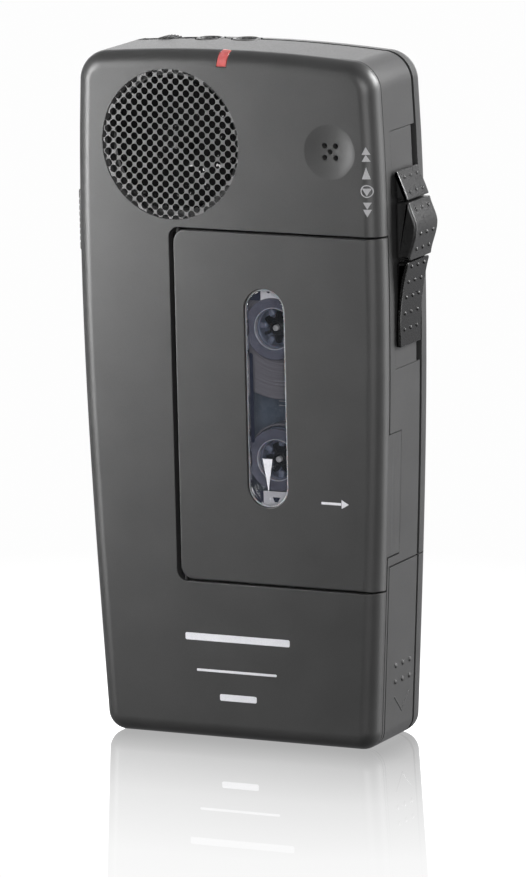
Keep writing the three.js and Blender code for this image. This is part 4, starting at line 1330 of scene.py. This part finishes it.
# ---- carried-over frame nodes
CARRIED = {
    CASE: ["battery_bulkhead"],
    BLACK: ["speaker_frame", "slide_carrier", "selector_switch", "record_switch", "volume_pot",
            "erase_head"],
    STEEL: ["motor", "idler_arm", "head_carriage", "record_play_head", "battery_contact_upper",
            "battery_contact_lower", "battery_bridge_contact"],
    BRASS: ["motor_pulley", "flywheel", "pressure_pad"],
    RUBBER: ["microphone_boot", "drive_belt", "idler_wheel"],
    # near-black as painted shade: these sit deep behind gaps and holes
    SHADE_BLACK: ["microphone_capsule", "door_hinge_pin_upper", "door_hinge_pin_lower"],
    DECK: ["deck_plate", "speaker_magnet"],
    RED: ["record_led"],
    WRAP: ["battery_cell_upper", "battery_cell_lower"],
    BOARD: ["circuit_board"],
}


def dress_carried():
    """Gives each frame node that stays its finish and smooth round faces."""
    for material, names in CARRIED.items():
        for name in names:
            finish(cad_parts[name].data, material, 34)


# ---- stage, light and camera
def floor():
    """A pale, softly mirroring floor whose mirror fades away from the object's foot."""
    mesh = bpy.data.meshes.new("floor")
    reach, height = 20.0, -0.00005
    corners = [(-reach, -reach, height), (reach, -reach, height), (reach, reach, height),
               (-reach, reach, height)]
    mesh.from_pydata(corners, [], [(0, 1, 2, 3)])
    obj = link(bpy.data.objects.new("floor", mesh))
    n = Nodes("pale_floor")
    parts = n.axes()
    past = [n.maths("MAXIMUM", n.maths("SUBTRACT", n.maths("ABSOLUTE", parts[axis]), foot), 0.0)
            for axis, foot in FOOT_REACH]
    away = n.range(n.length(*past), 0.0, 1.0, 0.0, MIRROR_FADE)
    mirror = n.ramp(away, (0.0, grey(0.6)), (0.08, grey(0.44)), (0.25, grey(0.22)), (0.5, grey(0.06)),
                    (0.9, grey(0.0)))
    white = n.add("ShaderNodeEmission", Color=(*grey(BACKDROP), 1), Strength=1.0)
    shine = n.add("ShaderNodeBsdfGlossy", Roughness=0.0, Color=(1, 1, 1, 1))
    mesh.materials.append(n.finish(n.mix(mirror, white, shine)))
    obj.visible_diffuse = False
    obj.visible_glossy = False
    obj.visible_shadow = False


def studio_world():
    """White to look at and in the floor's mirror; for lighting, pale behind and dim in front."""
    world = bpy.data.worlds.new("studio")
    bpy.context.scene.world = world
    n = Nodes("studio", world)
    rays = n.add("ShaderNodeLightPath").outputs
    direct = n.maths("MAXIMUM", rays["Is Camera Ray"], rays["Is Singular Ray"])
    depth = n.range(n.axes()["Y"], 0.0, 1.0, -1.0, 1.0)
    room = n.add("ShaderNodeBackground")
    n.feed(room, Color=n.ramp(depth, (0.35, (0.004, 0.004, 0.004)), (0.95, (0.42, 0.42, 0.43))))
    white = n.add("ShaderNodeBackground", Color=(*grey(BACKDROP), 1))
    n.finish(n.mix(direct, room, white))


def softbox(name, place, target, width, height, power):
    """A rectangular soft light at place, in metres, facing target."""
    lamp = bpy.data.lights.new(name, "AREA")
    lamp.shape = "RECTANGLE"
    lamp.size = width
    lamp.size_y = height
    lamp.energy = power
    obj = link(bpy.data.objects.new(name, lamp))
    obj.location = place
    obj.rotation_euler = (Vector(target) - Vector(place)).to_track_quat("-Z", "Y").to_euler()
    obj.visible_camera = False


# name, place and target in metres, width, height, watts
LIGHTS = (
    ("key_high", (-0.125, -0.115, 0.12), (-0.02, -0.01, 0.10), 0.05, 0.14, 0.37),
    ("key_low", (-0.13, -0.10, 0.06), (-0.02, -0.01, 0.05), 0.05, 0.14, 0.12),
    ("front_fill", (0.42, -0.80, 0.26), (0.0, 0.0, 0.07), 0.5, 0.5, 5.6),
    ("front_left", (-0.45, -0.45, 0.45), (0.0, 0.0, 0.07), 0.3, 0.3, 0.38),
    ("side_right", (0.50, 0.24, 0.14), (0.03, 0.0, 0.08), 0.35, 0.6, 2.1),
    ("side_high", (0.35, 0.20, 0.35), (0.03, 0.0, 0.10), 0.25, 0.25, 4.5),
    ("behind", (-0.25, 0.60, 0.22), (0.0, 0.0, 0.12), 0.7, 0.35, 1.1),
)


CAMERA_TURN, CAMERA_RISE, CAMERA_ROLL = 25.956, 10.920, -1.336
CAMERA_DISTANCE = 1.3798
CAMERA_LENS = 316.2
CAMERA_SLIDE, CAMERA_LIFT = 0.001114, -0.008859


def camera():
    """Looks from the front right and a little above, aimed near the middle of the object."""
    turn, rise, roll = (math.radians(v) for v in (CAMERA_TURN, CAMERA_RISE, CAMERA_ROLL))
    target = Vector((0, 0, HEIGHT / 2 * MM))
    back = Vector((math.sin(turn) * math.cos(rise), -math.cos(turn) * math.cos(rise), math.sin(rise)))
    level = Vector((math.cos(turn), math.sin(turn), 0))
    above = back.cross(level)
    right = math.cos(roll) * level + math.sin(roll) * above
    up = -math.sin(roll) * level + math.cos(roll) * above
    data = bpy.data.cameras.new("camera")
    data.sensor_width = 36.0
    data.lens = CAMERA_LENS
    data.clip_end = 50.0
    obj = link(bpy.data.objects.new("camera", data))
    place = target + CAMERA_DISTANCE * back + CAMERA_SLIDE * right + CAMERA_LIFT * up
    axes = Matrix((right, up, back)).transposed().to_4x4()
    obj.matrix_world = Matrix.Translation(place) @ axes
    bpy.context.scene.camera = obj


for light in LIGHTS:
    softbox(*light)
for build in (
    camera, floor, studio_world, front_cover, rear_cover, parting_gap_painted_shade, blank_plate, switch_plate,
    case_screws, speaker_grille, speaker_cone, light_pipe, direction_symbols, plain_rules,
    cassette_door, door_window, door_arrow, thumb_pads, record_key, index_button, volume_wheel,
    jack_sockets, battery_cover, cassette,
):
    build()
reel("supply", SUPPLY_AT, "supply_tape_pack", "supply_reel", -2)
reel("takeup", TAKEUP_AT, "takeup_tape_pack", "takeup_reel", 28)
dress_carried()

bpy.context.scene.view_settings.view_transform = "Standard"
bpy.context.view_layer.update()
